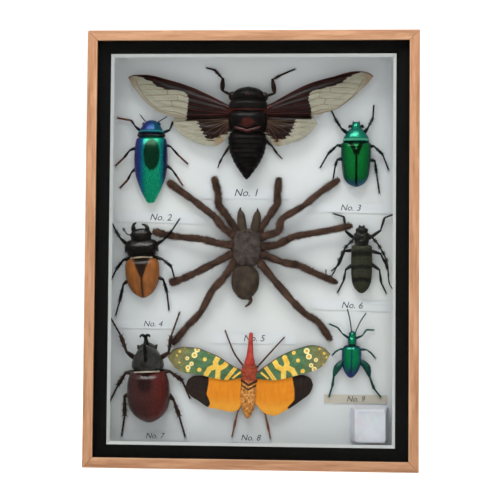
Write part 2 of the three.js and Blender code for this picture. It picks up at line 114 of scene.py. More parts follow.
class Shape:
    """The points, faces and material numbers of one piece."""

    def __init__(self):
        self.points, self.faces, self.kinds, self.count = [], [], [], 0

    def add(self, points, faces, kind):
        """Adds points and a list of face blocks that count from the first of these points."""
        self.points.append(np.asarray(points, float))
        for block in faces:
            self.faces.append(np.asarray(block) + self.count)
            self.kinds.append(np.full(len(block), kind))
        self.count += len(points)

    def loft(self, rings, kind):
        """A closed skin over rings of points, with a fan over each end."""
        rows, around = rings.shape[:2]
        first = np.arange(around)
        after = np.roll(first, -1)
        rung = np.stack([first, after, after + around, first + around], 1)
        skin = np.concatenate([rung + r * around for r in range(rows - 1)])
        last = (rows - 1) * around
        hub = np.full(around, rows * around)
        caps = [np.stack([hub, after, first], 1), np.stack([hub + 1, first + last, after + last], 1)]
        points = np.concatenate([rings.reshape(-1, 3), rings[[0, -1]].mean(axis=1)])
        self.add(points, [skin, *caps], kind)
        return rings

    def tube(self, path, radii, kind, around=8, flat=1.0):
        """A round limb along a path."""
        path = np.asarray(path, float)
        radii = np.broadcast_to(np.asarray(radii, float), len(path))
        ahead = np.gradient(path, axis=0)
        ahead /= np.linalg.norm(ahead, axis=1)[:, None]
        across = np.cross([0, 0, 1], ahead)
        across /= np.linalg.norm(across, axis=1)[:, None] + 1e-9
        up = np.cross(ahead, across)
        turn = np.linspace(0, 2 * math.pi, around, endpoint=False)[None, :, None]
        circle = np.cos(turn) * across[:, None] + flat * np.sin(turn) * up[:, None]
        return self.loft(path[:, None] + radii[:, None, None] * circle, kind)

    def body(self, widths, rises, level, drop, kind, rows=48, around=40, square=0.9, relief=None, steps=None):
        """A rounded body from half-widths and heights along its length.

        Relief lifts its upper side; steps give it ring segments of a length and a height.
        """
        ys, ws = np.array(widths[::-1], float).T
        turn_along = np.cos(np.linspace(0.04, math.pi - 0.04, rows))
        at = (ys[0] + ys[-1]) / 2 - (ys[-1] - ys[0]) / 2 * turn_along
        wide = np.sqrt(np.maximum(smooth(at, ys, ws**2), 1e-4))
        hy, hs = np.array(rises[::-1], float).T
        tall = np.sqrt(np.maximum(smooth(at, hy, hs**2), 1e-4))
        deep = drop * (wide / wide.max()) ** 0.7
        if steps is not None:
            saw = steps[1] * ((-at / steps[0]) % 1 - 0.5)
            wide = wide + saw * (wide > 1)
            tall = tall + saw * (wide > 1)
        turn = np.linspace(0, 2 * math.pi, around, endpoint=False)
        c, s = np.cos(turn), np.sin(turn)
        side = wide[:, None] * (np.sign(c) * np.abs(c) ** square)[None]
        lift = np.abs(s) ** square
        high = np.where(s > 0, tall[:, None] * lift, -deep[:, None] * lift)
        length = np.broadcast_to(at[:, None], side.shape)
        if relief is not None:
            high = high + relief(side, length) * np.clip(s, 0, 1)
        return self.loft(np.stack([side, length, level + high], axis=2), kind)

    def ball(self, centre, radii, kind, rows=10, around=14):
        """An egg-shaped knob."""
        tip = np.linspace(0.12, math.pi - 0.12, rows)
        turn = np.linspace(0, 2 * math.pi, around, endpoint=False)
        ring = np.sin(tip)[:, None]
        unit = np.stack([ring * np.cos(turn), np.cos(tip)[:, None] + 0 * turn, ring * np.sin(turn)], axis=2)
        return self.loft(np.asarray(centre) + unit * np.asarray(radii), kind)

    def fur(self, rings, count, length, kind, lean=0.8, thick=0.05):
        """Short hairs scattered over a lofted skin, leaning along it."""
        rows, around = rings.shape[:2]
        r = RANDOM.integers(1, rows - 1, count)
        a = RANDOM.integers(0, around, count)
        beside = (a + 1) % around
        spot = RANDOM.random((count, 1))
        root = rings[r, a] * spot + rings[r, beside] * (1 - spot)
        ahead = rings[r + 1, a] - rings[r - 1, a]
        out = np.cross(rings[r, beside] - rings[r, a], ahead)
        out *= np.sign(np.sum(out * (root - rings[r].mean(axis=1)), axis=1))[:, None]
        ahead /= np.linalg.norm(ahead, axis=1)[:, None] + 1e-9
        out /= np.linalg.norm(out, axis=1)[:, None] + 1e-9
        way = out + lean * ahead + 0.35 * RANDOM.normal(size=(count, 3))
        way /= np.linalg.norm(way, axis=1)[:, None]
        tip = root + way * length * RANDOM.uniform(0.5, 1.2, (count, 1))
        tip[:, 2] = np.maximum(tip[:, 2], 0.3)
        b = np.cross(way, ahead + 0.1)
        b *= thick / (np.linalg.norm(b, axis=1)[:, None] + 1e-9)
        c = np.cross(way, b)
        corners = [root + b, root - 0.5 * b + c, root - 0.5 * b - c, tip]
        n = 4 * np.arange(count)[:, None]
        faces = np.concatenate([n + [0, 1, 3], n + [1, 2, 3], n + [2, 0, 3], n + [0, 2, 1]])
        self.add(np.stack(corners, axis=1).reshape(-1, 3), [faces], kind)

    def wing(self, lead, trail, level, kind, rows=130, cols=36, camber=0.8, pleats=0.0, thick=0.16):
        """A thin wing between its front and rear edge; returns its upper points."""
        s = np.linspace(0, 0.997, rows)[:, None]
        w = np.linspace(0, 1, cols)[None, :]
        front, rear = along_line(lead, rows)[:, None], along_line(trail, rows)[:, None]
        flat = front * (1 - w[..., None]) + rear * w[..., None]
        high = level + camber * np.sin(math.pi * w) * (1 - s * s) - 1.2 * s * s
        high = high + pleats * np.cos(9 * math.pi * w) * np.sin(math.pi * s)
        top = np.concatenate([flat, high[..., None]], axis=2)
        under = top[:, ::-1] - [0, 0, thick]
        self.loft(np.concatenate([top, under], axis=1), kind)
        return top.reshape(-1, 3)

    def vein(self, skin, line, radius, kind):
        """A raised vein on a wing, given by where it runs as seen from above."""
        flat = along_line(line, 6 * len(line))
        gap = np.linalg.norm(skin[None, :, :2] - flat[:, None], axis=2)
        high = skin[gap.argmin(axis=1), 2]
        high = np.convolve(np.pad(high, 2, "edge"), np.ones(5) / 5, "valid")
        path = np.concatenate([flat, high[:, None]], axis=1)
        self.tube(path, np.linspace(radius, 0.7 * radius, len(path)), kind, 6)

    def limb(self, start, end, radius, form, kind):
        """One straight stretch of a leg with its own swelling."""
        start, end = np.asarray(start, float), np.asarray(end, float)
        t = np.linspace(0, 1, 3 * len(form))
        thick = radius * np.interp(t, np.linspace(0, 1, len(form)), form)
        return self.tube(start + t[:, None] * (end - start), thick, kind, 9)

    def leg(self, joints, radii, kind, foot=None, spines=0):
        """A leg from joint to joint: swollen first, widening next, then a beaded foot with two claws."""
        swollen, widening = [0.6, 0.9, 1.05, 1, 0.85, 0.6], [0.6, 0.7, 0.8, 0.95, 1.05, 0.8]
        joints = np.asarray(joints, float)
        last = len(joints) - 3
        for i in range(last + 1):
            start, end = joints[i], joints[i + 1]
            self.limb(start, end, radii[i], widening if i == last else swollen, kind)
            self.ball(end, [0.62 * radii[i]] * 3, kind, 6, 8)
        if spines:
            self.thorns(joints[last], joints[last + 1], radii[last], spines, kind)
        self.foot(joints[-2], joints[-1], radii[-1], kind if foot is None else foot)

    def foot(self, ankle, tip, radius, kind):
        """A foot of five beads with two hooked claws."""
        ankle, tip = np.asarray(ankle, float), np.asarray(tip, float)
        t = np.linspace(0, 1, 41)
        beads = radius * (0.72 + 0.4 * (t * 5 % 1) ** 0.7 * (1 - 0.3 * t))
        self.tube(ankle + t[:, None] * (tip - ankle), beads, kind, 7)
        ahead = (tip - ankle) / np.linalg.norm(tip - ankle)
        side = np.cross(ahead, [0, 0, 1])
        for way in (-1, 1):
            spread = 0.9 * way * side
            hook = [tip, tip + radius * (ahead + spread), tip + radius * (2.1 * ahead + spread)]
            self.tube(along_line(hook, 6), np.linspace(0.4 * radius, 0.06, 6), kind, 5)

    def thorns(self, start, end, radius, count, kind):
        """Short thorns on both sides of a leg."""
        side = np.cross(end - start, [0, 0, 1])
        side /= np.linalg.norm(side)
        for t in np.linspace(0.35, 0.95, count):
            for way in (-1, 1):
                root = start + t * (end - start) + 0.6 * way * side * radius
                tip = root + way * side * radius * 1.1 + 0.12 * (end - start)
                self.tube([root, (root + tip) / 2, tip], [0.3 * radius, 0.18 * radius, 0.03], kind, 5)


def on_tray(x, z, degrees=0):
    """Where a piece lies: its x to the right, its y up the tray and its z out of the tray."""
    upright = Euler((math.pi / 2, 0, 0)).to_matrix().to_4x4()
    lean = Matrix.Rotation(math.radians(degrees), 4, "Z")
    return Matrix.Translation((x * MM, FLOOR_Y * MM, (HEIGHT / 2 + z) * MM)) @ upright @ lean


def place_piece(name, mesh, place, sharp):
    """Puts a finished mesh in place of the node of the same name."""
    mesh.polygons.foreach_set("use_smooth", np.ones(len(mesh.polygons), bool))
    mesh.set_sharp_from_angle(angle=math.radians(sharp))
    piece = bpy.data.objects.new(name + "_dressed", mesh)
    bpy.context.collection.objects.link(piece)
    piece.matrix_world = place
    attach(piece, "root")
    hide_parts(name)


def make_piece(name, shape, looks, place, sharp=40, marks=None):
    """Turns a shape into a piece; marks are named values that its looks read at each point."""
    mesh = bpy.data.meshes.new(name)
    points = np.concatenate(shape.points)
    faces = [face.tolist() for block in shape.faces for face in block]
    mesh.from_pydata((points * MM).tolist(), [], faces)
    for look in looks:
        mesh.materials.append(look)
    mesh.polygons.foreach_set("material_index", np.concatenate(shape.kinds).astype(np.int32))
    work = bmesh.new()
    work.from_mesh(mesh)
    bmesh.ops.recalc_face_normals(work, faces=work.faces)
    work.to_mesh(mesh)
    work.free()
    for mark, values in (marks or {}).items():
        layer = mesh.attributes.new(mark, "FLOAT", "POINT")
        layer.data.foreach_set("value", values(points).astype(np.float32))
    place_piece(name, mesh, place, sharp)


# Materials


def rgb(red, green, blue):
    """A colour as seen on screen, 0 to 255, as the linear numbers that shaders use."""
    shares = [v / 255 for v in (red, green, blue)]
    linear = [v / 12.92 if v <= 0.04045 else ((v + 0.055) / 1.055) ** 2.4 for v in shares]
    return (*linear, 1.0)


def darker(colour, share):
    return (*(share * v for v in colour[:3]), 1.0)


class Look:
    """A material built from nodes around one Principled shader."""

    def __init__(self, name, **values):
        self.material = bpy.data.materials.new(name)
        self.material.use_nodes = True
        self.tree = self.material.node_tree
        self.shader = self.tree.nodes["Principled BSDF"]
        self.set(**values)

    def set(self, **values):
        for key, value in values.items():
            self.give(self.shader.inputs[key.replace("_", " ")], value)
        return self.material

    def give(self, socket, value):
        if isinstance(value, bpy.types.NodeSocket):
            self.tree.links.new(value, socket)
        else:
            socket.default_value = value

    def make(self, kind, inputs, out=0, **settings):
        node = self.tree.nodes.new("ShaderNode" + kind)
        for key, value in settings.items():
            setattr(node, key, value)
        for key, value in inputs.items():
            self.give(node.inputs[key], value)
        return node.outputs[out]

    def place(self):
        """The piece's own position in millimetres."""
        spot = self.make("TexCoord", {}, "Object")
        return self.make("VectorMath", {0: spot, "Scale": 1 / MM}, operation="SCALE")

    def facing(self, axis):
        """One part of the piece's own normal."""
        return self.part(self.make("TexCoord", {}, "Normal"), axis)

    def mark(self, name):
        """A value stored at the points of the piece."""
        return self.make("Attribute", {}, "Fac", attribute_name=name)

    def part(self, vector, axis):
        return self.make("SeparateXYZ", {0: vector}, axis)

    def stretch(self, vector, scale):
        return self.make("VectorMath", {0: vector, 1: scale}, operation="MULTIPLY")

    def noise(self, vector, scale, detail=3, rough=0.5):
        return self.make("TexNoise", {"Vector": vector, "Scale": scale, "Detail": detail, "Roughness": rough})

    def cells(self, vector, scale, feature="F1"):
        return self.make("TexVoronoi", {"Vector": vector, "Scale": scale}, feature=feature)

    def math(self, operation, a, b=0.0):
        return self.make("Math", {0: a, 1: b}, operation=operation)

    def wobble(self, value, vector, scale, reach):
        """A value made uneven by up to half the reach either way."""
        shift = self.math("MULTIPLY", self.math("SUBTRACT", self.noise(vector, scale), 0.5), reach)
        return self.math("ADD", value, shift)

    def ramp(self, value, *stops):
        node = self.tree.nodes.new("ShaderNodeValToRGB")
        while len(node.color_ramp.elements) < len(stops):
            node.color_ramp.elements.new(0.5)
        for element, (position, colour) in zip(node.color_ramp.elements, stops):
            element.position = position
            element.color = colour if isinstance(colour, tuple) else (colour, colour, colour, 1)
        self.give(node.inputs[0], value)
        return node.outputs[0]

    def step(self, value, low, high, first=0.0, last=1.0):
        """A smooth change from first to last as value goes from low to high."""
        inputs = {0: value, 1: low, 2: high, 3: first, 4: last}
        return self.make("MapRange", inputs, interpolation_type="SMOOTHSTEP")

    def band(self, value, middle, inside, outside, strength=1.0):
        """Full within a distance of the middle, none beyond a larger one."""
        gap = self.math("ABSOLUTE", self.math("SUBTRACT", value, middle))
        return self.step(gap, inside, outside, strength, 0.0)

    def mix(self, share, a, b):
        return self.make("Mix", {0: share, 6: a, 7: b}, 2, data_type="RGBA")

    def bump(self, height, strength, reach):
        """A bump of the given reach in millimetres."""
        return self.make("Bump", {"Height": height, "Strength": strength, "Distance": reach * MM})

    def near(self, where, centre, size):
        """How far a position is from a centre, in radii of the given size."""
        gap = self.make("VectorMath", {0: where, 1: (*centre, 0)}, operation="SUBTRACT")
        flat = self.stretch(gap, (1 / size[0], 1 / size[1], 0))
        return self.make("VectorMath", {0: flat}, "Value", operation="LENGTH")


def wood(name, worn):
    """Orange-brown softwood with its grain along x; worn wood is paler."""
    look = Look(name)
    spot = look.place()
    grain = look.noise(look.stretch(spot, (0.03, 0.45, 0.45)), 1.0, 6, 0.6)
    fibre = look.noise(look.stretch(spot, (0.1, 3, 3)), 1.0, 4, 0.7)
    pores = look.noise(look.stretch(spot, (0.25, 9, 9)), 1.0, 2)
    blotch = look.noise(look.stretch(spot, (0.06, 0.3, 0.3)), 1.0, 2)
    tone = look.ramp(grain, (0.28, rgb(154, 106, 72)), (0.5, rgb(181, 132, 95)), (0.72, rgb(200, 154, 117)))
    tone = look.mix(look.ramp(fibre, (0.35, 0.4), (0.6, 0.0)), tone, rgb(128, 82, 53))
    tone = look.mix(look.ramp(pores, (0.66, 0.0), (0.76, 0.5)), tone, rgb(98, 60, 40))
    tone = look.mix(look.ramp(blotch, (0.56, 0.0), (0.72, 0.35)), tone, rgb(205, 160, 122))
    tone = look.mix(0.35 if worn else 0.0, tone, rgb(216, 178, 142))
    height = look.math("ADD", look.math("MULTIPLY", pores, -0.5), fibre)
    gloss = look.ramp(fibre, (0.3, 0.44), (0.7, 0.64))
    return look.set(Base_Color=tone, Roughness=gloss, Normal=look.bump(height, 0.35, 0.12))


def mat_card():
    """Black card with a white core that shows on the cut edge."""
    look = Look("mat_card", Roughness=0.9, Specular_IOR_Level=0.08)
    spot = look.place()
    flat = look.math("ABSOLUTE", look.facing("Y"))
    fibre = look.noise(spot, 6.0, 3)
    dust = look.ramp(look.noise(spot, 1.1, 2), (0.74, 0.0), (0.79, 0.3))
    black = look.ramp(fibre, (0.3, rgb(12, 12, 12)), (0.75, rgb(20, 20, 19)))
    black = look.mix(dust, black, rgb(70, 66, 60))
    core = look.ramp(fibre, (0.3, rgb(176, 178, 178)), (0.7, rgb(192, 193, 192)))
    tone = look.mix(look.step(flat, 0.85, 0.95), core, black)
    return look.set(Base_Color=tone, Normal=look.bump(fibre, 0.25, 0.05))


def tray_skin():
    """Matt pale-grey formed plastic."""
    look = Look("tray_skin", Roughness=0.55, Specular_IOR_Level=0.3)
    spot = look.place()
    cloud = look.noise(spot, 0.02, 3)
    grain = look.noise(spot, 2.5, 3)
    specks = look.ramp(look.noise(spot, 0.9, 2), (0.75, 0.0), (0.8, 0.2))
    tone = look.ramp(cloud, (0.3, rgb(198, 201, 204)), (0.7, rgb(206, 208, 207)))
    tone = look.mix(specks, tone, rgb(140, 136, 128))
    return look.set(Base_Color=tone, Normal=look.bump(grain, 0.1, 0.05))


def paper(name, tone):
    look = Look(name, Roughness=0.85, Specular_IOR_Level=0.2)
    fibre = look.noise(look.stretch(look.place(), (1, 3, 3)), 1.5, 4)
    shade = look.mix(look.ramp(fibre, (0.3, 0.0), (0.8, 0.3)), tone, darker(tone, 0.82))
    return look.set(Base_Color=shade, Normal=look.bump(fibre, 0.2, 0.04))


def back_fibre():
    look = Look("back_fibre", Roughness=0.85)
    spot = look.place()
    fibre = look.noise(spot, 1.6, 6, 0.7)
    flecks = look.cells(spot, 0.9)
    tone = look.ramp(fibre, (0.3, rgb(96, 68, 44)), (0.55, rgb(130, 96, 64)), (0.75, rgb(160, 124, 88)))
    tone = look.mix(look.ramp(flecks, (0.05, 0.4), (0.16, 0.0)), tone, rgb(84, 58, 38))
    return look.set(Base_Color=tone, Normal=look.bump(fibre, 0.4, 0.15))


def holder_plastic():
    look = Look("holder_plastic", Roughness=0.35, Subsurface_Weight=0.25, Subsurface_Scale=0.004)
    spot = look.place()
    cloud = look.noise(spot, 0.25, 3)
    tone = look.ramp(cloud, (0.3, rgb(192, 193, 200)), (0.7, rgb(203, 205, 213)))
    return look.set(Base_Color=tone, Normal=look.bump(look.noise(spot, 1.2, 2), 0.08, 0.1))


def pane_glass():
    look = Look("pane_glass")
    clear = look.make("BsdfTransparent", {"Color": (0.985, 0.992, 0.988, 1)})
    shine = look.make("BsdfGlossy", {"Color": (1, 1, 1, 1), "Roughness": 0.03})
    dust = look.noise(look.place(), 0.6, 4)
    rim = look.make("Fresnel", {"IOR": 1.45})
    share = look.math("MULTIPLY", rim, look.ramp(dust, (0.3, 0.07), (0.8, 0.11)))
    both = look.make("MixShader", {0: share, 1: clear, 2: shine})
    look.tree.links.new(both, look.tree.nodes["Material Output"].inputs["Surface"])
    return look.material


def chitin(name, dark, light, rough=0.35, grain=2.0, depth=0.06):
    """Plain insect shell: two tones, fine pits and an uneven polish."""
    look = Look(name, Coat_Weight=0.06, Coat_Roughness=0.25, Specular_IOR_Level=0.3)
    spot = look.place()
    pits = look.noise(spot, grain, 3)
    tone = look.ramp(look.noise(spot, 0.35, 4), (0.32, dark), (0.7, light))
    gloss = look.ramp(pits, (0.3, rough - 0.08), (0.7, rough + 0.12))
    return look.set(Base_Color=tone, Roughness=gloss, Normal=look.bump(pits, 0.4, depth))


def gem(name):
    """Shiny coloured shell; its colour is set by the caller."""
    return Look(name, Metallic=0.5, Coat_Weight=0.08, Coat_Roughness=0.15, Specular_IOR_Level=0.25)


def finish_gem(look, spot, tone, rough=0.24, scale=2.0):
    pits = look.noise(look.stretch(spot, (1.4, 0.9, 1.4)), scale, 3)
    gloss = look.ramp(pits, (0.3, rough - 0.05), (0.7, rough + 0.1))
    return look.set(Base_Color=tone, Roughness=gloss, Normal=look.bump(pits, 0.25, 0.06))


def cicada_shell():
    """Near-black with red-brown along the collar and on the back."""
    look = Look("cicada_shell", Coat_Weight=0.04, Coat_Roughness=0.15, Specular_IOR_Level=0.12)
    spot = look.place()
    along = look.part(spot, "Y")
    cloud = look.noise(spot, 0.5, 4)
    tone = look.ramp(cloud, (0.3, rgb(11, 9, 9)), (0.55, rgb(19, 16, 16)), (0.75, rgb(34, 24, 21)))
    red = look.ramp(cloud, (0.3, rgb(44, 17, 14)), (0.7, rgb(84, 34, 26)))
    patch = look.step(look.wobble(look.near(spot, (0, 3.2), (3.6, 2.6)), spot, 0.8, 0.8), 0.6, 1.1, 0.75, 0.0)
    tone = look.mix(patch, tone, red)
    tone = look.mix(look.band(look.wobble(along, spot, 0.4, 0.8), 10.0, 0.15, 0.6, 0.8), tone, red)
    rings = look.math("FRACT", look.math("MULTIPLY", along, 1 / 2.4))
    fold = look.math(
        "MULTIPLY", look.step(rings, 0.0, 0.22, 0.6, 0.0), look.step(along, -3.0, -2.0, 1.0, 0.0),
    )
    tone = look.mix(fold, tone, rgb(6, 5, 5))
    pits = look.noise(spot, 1.8, 4, 0.6)
    gloss = look.ramp(pits, (0.3, 0.3), (0.7, 0.55))
    return look.set(Base_Color=tone, Roughness=gloss, Normal=look.bump(pits, 0.5, 0.12))


def cicada_wing():
    """Dark where marked, clear and pale elsewhere, brown-tinted at the outer edge."""
    look = Look("cicada_wing", Roughness=0.4, Specular_IOR_Level=0.3)
    spot = look.place()
    dark = look.step(look.wobble(look.mark("dark"), spot, 0.9, 0.5), 0.35, 0.65)
    streak = look.noise(look.stretch(spot, (0.15, 0.8, 0.5)), 1.0, 4)
    across = look.math("ABSOLUTE", look.part(spot, "X"))
    brown = look.ramp(streak, (0.3, rgb(17, 9, 8)), (0.7, rgb(38, 20, 16)))
    brown = look.mix(look.step(across, 22, 9, 0.0, 0.35), brown, rgb(54, 26, 21))
    pale = look.ramp(streak, (0.3, rgb(150, 146, 128)), (0.7, rgb(170, 165, 146)))
    tinted = look.mix(look.math("MULTIPLY", look.mark("tint"), 0.85), pale, rgb(138, 104, 66))
    tone = look.mix(dark, tinted, brown)
    alpha = look.math("MAXIMUM", look.step(dark, 0.0, 1.0, 0.7, 0.97), look.mark("tint"))
    return look.set(Base_Color=tone, Alpha=alpha, Normal=look.bump(streak, 0.2, 0.1))


def jewel_shell():
    """Bands of violet, blue, teal and green along the body, with a painted dark reflection, a dark green
    ellipse, on the wing cases.
    """
    look = gem("jewel_shell")
    spot = look.place()
    along = look.part(spot, "Y")
    lane = look.wobble(look.part(spot, "X"), spot, 0.35, 1.4)
    lane = look.make("MapRange", {0: lane, 1: -8.6, 2: 8.6})
    violet, blue, teal = rgb(52, 46, 108), rgb(28, 72, 128), rgb(16, 122, 130)
    green, navy = rgb(18, 156, 112), rgb(22, 32, 76)
    tone = look.ramp(
        lane, (0.02, violet), (0.14, rgb(46, 56, 120)), (0.22, blue), (0.3, teal), (0.4, green),
        (0.76, rgb(20, 160, 122)), (0.85, teal), (0.92, navy), (1.0, rgb(30, 26, 62)),
    )
    # Painted reflection: a dark green ellipse on the wing cases.
    dark_reflection = look.wobble(look.near(spot, (0.9, 2.4), (4.3, 8.7)), spot, 0.7, 0.22)
    tone = look.mix(look.step(dark_reflection, 0.86, 1.06, 0.94, 0.0), tone, rgb(14, 40, 20))
    head = look.ramp(lane, (0.2, rgb(36, 34, 94)), (0.45, rgb(30, 54, 114)), (0.7, rgb(16, 86, 112)))
    head = look.mix(look.band(along, 14.6, 0.15, 0.6, 0.8), head, rgb(52, 162, 156))
    tone = look.mix(look.step(along, 12.6, 13.2), tone, head)
    tone = look.mix(look.band(along, 12.8, 0.8, 1.3, 0.97), tone, rgb(9, 10, 12))
    return finish_gem(look, spot, tone)


def flower_shell():
    """Green wing cases with a dark seam and V, a teal shield in front with a painted highlight line near its
    rear edge, and a blue-dark rim.
    """
    look = gem("flower_shell")
    spot = look.place()
    across = look.math("ABSOLUTE", look.part(spot, "X"))
    along = look.part(spot, "Y")
    up = look.facing("Z")
    dark = rgb(8, 18, 12)
    tone = look.ramp(
        up, (0.25, rgb(14, 30, 48)), (0.6, rgb(10, 66, 50)), (0.88, rgb(16, 112, 54)),
        (1, rgb(20, 126, 56)),
    )
    shield = look.ramp(up, (0.2, rgb(14, 44, 66)), (0.6, rgb(18, 104, 98)), (1.0, rgb(34, 146, 112)))
    # Painted highlight: a pale mint line across the rear of the shield.
    shield = look.mix(look.band(along, 7.6, 0.2, 0.7, 0.6), shield, rgb(130, 215, 180))
    tone = look.mix(look.step(along, -11.5, -14.5, 0.0, 0.75), tone, rgb(46, 84, 116))
    seam = look.math("MULTIPLY", look.step(across, 0.3, 0.9, 1.0, 0.0), look.step(along, 3.0, 1.5))
    edge = look.make("MapRange", {0: along, 1: 0.8, 2: 6.4, 3: 0.5, 4: 3.0})
    wedge = look.step(look.math("ABSOLUTE", look.math("SUBTRACT", across, edge)), 0.8, 1.5, 1.0, 0.0)
    wedge = look.math("MULTIPLY", wedge, look.step(along, -1.5, 0.5))
    tone = look.mix(look.math("MULTIPLY", look.math("MAXIMUM", seam, wedge), 0.95), tone, dark)
    tone = look.mix(look.step(along, 6.3, 6.7), tone, shield)
    tone = look.mix(look.band(along, 6.5, 0.1, 0.5, 0.9), tone, dark)
    return finish_gem(look, spot, tone, 0.22, 2.4)


def leaf_shell():
    """Green with a blue seam, turning blue-violet at the sides and the tail."""
    look = gem("leaf_shell")
    spot = look.place()
    up = look.facing("Z")
    along = look.part(spot, "Y")
    across = look.math("ABSOLUTE", look.part(spot, "X"))
    tone = look.ramp(
        up, (0.3, rgb(38, 36, 92)), (0.62, rgb(24, 66, 100)), (0.85, rgb(14, 124, 84)),
        (1, rgb(20, 140, 82)),
    )
    seam = look.math("MULTIPLY", look.step(across, 0.25, 0.6, 0.8, 0.0), look.step(along, 4.6, 4.2))
    tone = look.mix(seam, tone, rgb(22, 50, 110))
    tone = look.mix(look.step(along, -4, -10.5, 0.0, 0.9), tone, rgb(46, 44, 108))
    neck = look.band(along, 4.9, 0.3, 0.9, 0.9)
    tone = look.mix(neck, tone, rgb(14, 14, 26))
    return finish_gem(look, spot, tone, 0.22, 2.6)


def stag_shell():
    """Orange-brown wing cases with a black wedge down the seam."""
    look = Look("stag_shell", Coat_Weight=0.06, Coat_Roughness=0.25, Specular_IOR_Level=0.25)
    spot = look.place()
    across = look.math("ABSOLUTE", look.part(spot, "X"))
    along = look.part(spot, "Y")
    cloud = look.noise(look.stretch(spot, (0.4, 0.15, 0.4)), 1.0, 4)
    tone = look.ramp(cloud, (0.3, rgb(112, 66, 30)), (0.7, rgb(146, 88, 42)))
    tone = look.mix(look.step(look.facing("Z"), 0.1, 0.45, 0.85, 0.0), tone, rgb(62, 28, 12))
    reach = look.make("MapRange", {0: along, 1: -8.5, 2: 2.0, 3: 0.15, 4: 4.2})
    wedge = look.step(look.math("SUBTRACT", look.wobble(across, spot, 0.8, 0.8), reach), -0.3, 1.1, 0.96, 0.0)
    tone = look.mix(wedge, tone, rgb(18, 12, 9))
    pits = look.noise(spot, 3.0, 3)
    gloss = look.ramp(pits, (0.3, 0.26), (0.7, 0.4))
    return look.set(Base_Color=tone, Roughness=gloss, Normal=look.bump(pits, 0.2, 0.05))


def longhorn_shell():
    """Dull olive with three ragged black bands."""
    look = Look("longhorn_shell", Specular_IOR_Level=0.3)
    spot = look.place()
    across = look.part(spot, "X")
    along = look.part(spot, "Y")
    bow = look.math("MULTIPLY", look.math("MULTIPLY", across, across), 0.03)
    level = look.wobble(look.math("ADD", along, bow), spot, 0.6, 2.2)
    tone = look.ramp(look.noise(spot, 1.3, 4), (0.3, rgb(34, 34, 23)), (0.7, rgb(54, 54, 38)))
    for middle, wide in ((4.4, 1.5), (-2.4, 1.1), (-8.8, 1.2)):
        tone = look.mix(look.band(level, middle, 0.4 * wide, 1.3 * wide, 0.9), tone, rgb(12, 11, 10))
    pits = look.cells(spot, 1.6)
    return look.set(Base_Color=tone, Roughness=0.6, Normal=look.bump(pits, 0.5, 0.12))


def rhinoceros_shell():
    """Polished maroon, redder to the right, with a painted dark reflection near the shoulders, on the upper
    middle of the wing cases.
    """
    look = Look("rhinoceros_shell", Coat_Weight=0.15, Coat_Roughness=0.15, Specular_IOR_Level=0.3)
    spot = look.place()
    lane = look.make("MapRange", {0: look.wobble(look.part(spot, "X"), spot, 0.15, 4.0), 1: -10.9, 2: 10.9})
    tone = look.ramp(
        lane, (0.0, rgb(58, 40, 40)), (0.45, rgb(62, 34, 32)), (0.8, rgb(82, 32, 28)), (1, rgb(60, 24, 22)),
    )
    # Painted reflection: a dark patch on the upper middle of the wing cases.
    patch = look.wobble(look.near(spot, (-0.8, -1.0), (4.6, 6.0)), spot, 0.4, 0.3)
    tone = look.mix(look.step(patch, 0.5, 1.1, 0.75, 0.0), tone, rgb(24, 14, 14))
    pits = look.noise(spot, 3.0, 3)
    gloss = look.ramp(pits, (0.3, 0.2), (0.7, 0.34))
    return look.set(Base_Color=tone, Roughness=gloss, Normal=look.bump(pits, 0.3, 0.04))


def hair_skin(name, dark, light, patch=0.22):
    """Dull, felted skin with uneven patches."""
    look = Look(name, Roughness=0.85, Specular_IOR_Level=0.25)
    spot = look.place()
    fine = look.noise(spot, 2.5, 4, 0.7)
    tone = look.ramp(look.noise(spot, patch, 4, 0.6), (0.34, dark), (0.66, light))
    tone = look.mix(look.ramp(fine, (0.35, 0.6), (0.62, 0.0)), tone, darker(dark, 0.45))
    return look.set(Base_Color=tone, Normal=look.bump(fine, 0.8, 0.3))


def lantern_forewing():
    """Green, olive-brown toward the tip, with marked yellow blotches and ringed spots."""
    look = Look("lantern_forewing", Roughness=0.6, Specular_IOR_Level=0.3)
    spot = look.place()
    across = look.math("ABSOLUTE", look.part(spot, "X"))
    net = look.cells(look.stretch(spot, (1.0, 1.6, 1.0)), 1.3, "DISTANCE_TO_EDGE")
    cloud = look.noise(spot, 0.3, 3)
    tone = look.ramp(cloud, (0.3, rgb(68, 104, 70)), (0.7, rgb(98, 136, 92)))
    tip = look.ramp(cloud, (0.3, rgb(126, 112, 66)), (0.7, rgb(152, 140, 88)))
    tone = look.mix(look.step(look.wobble(across, spot, 0.2, 6.0), 25, 38, 0.0, 0.9), tone, tip)
    tone = look.mix(look.step(across, 15, 5, 0.0, 0.55), tone, rgb(40, 66, 48))
    tone = look.mix(look.ramp(net, (0.04, 0.5), (0.16, 0.0)), tone, rgb(34, 58, 40))
    yellow = look.step(look.wobble(look.mark("yellow"), spot, 1.0, 0.5), 0.4, 0.6)
    tone = look.mix(yellow, tone, look.ramp(cloud, (0.35, rgb(218, 170, 58)), (0.65, rgb(236, 200, 96))))
    tone = look.mix(look.step(look.mark("ring"), 0.3, 0.7), tone, rgb(236, 222, 158))
    tone = look.mix(look.step(look.mark("core"), 0.3, 0.7), tone, rgb(212, 158, 66))
    return look.set(Base_Color=tone, Normal=look.bump(net, 0.4, 0.12))


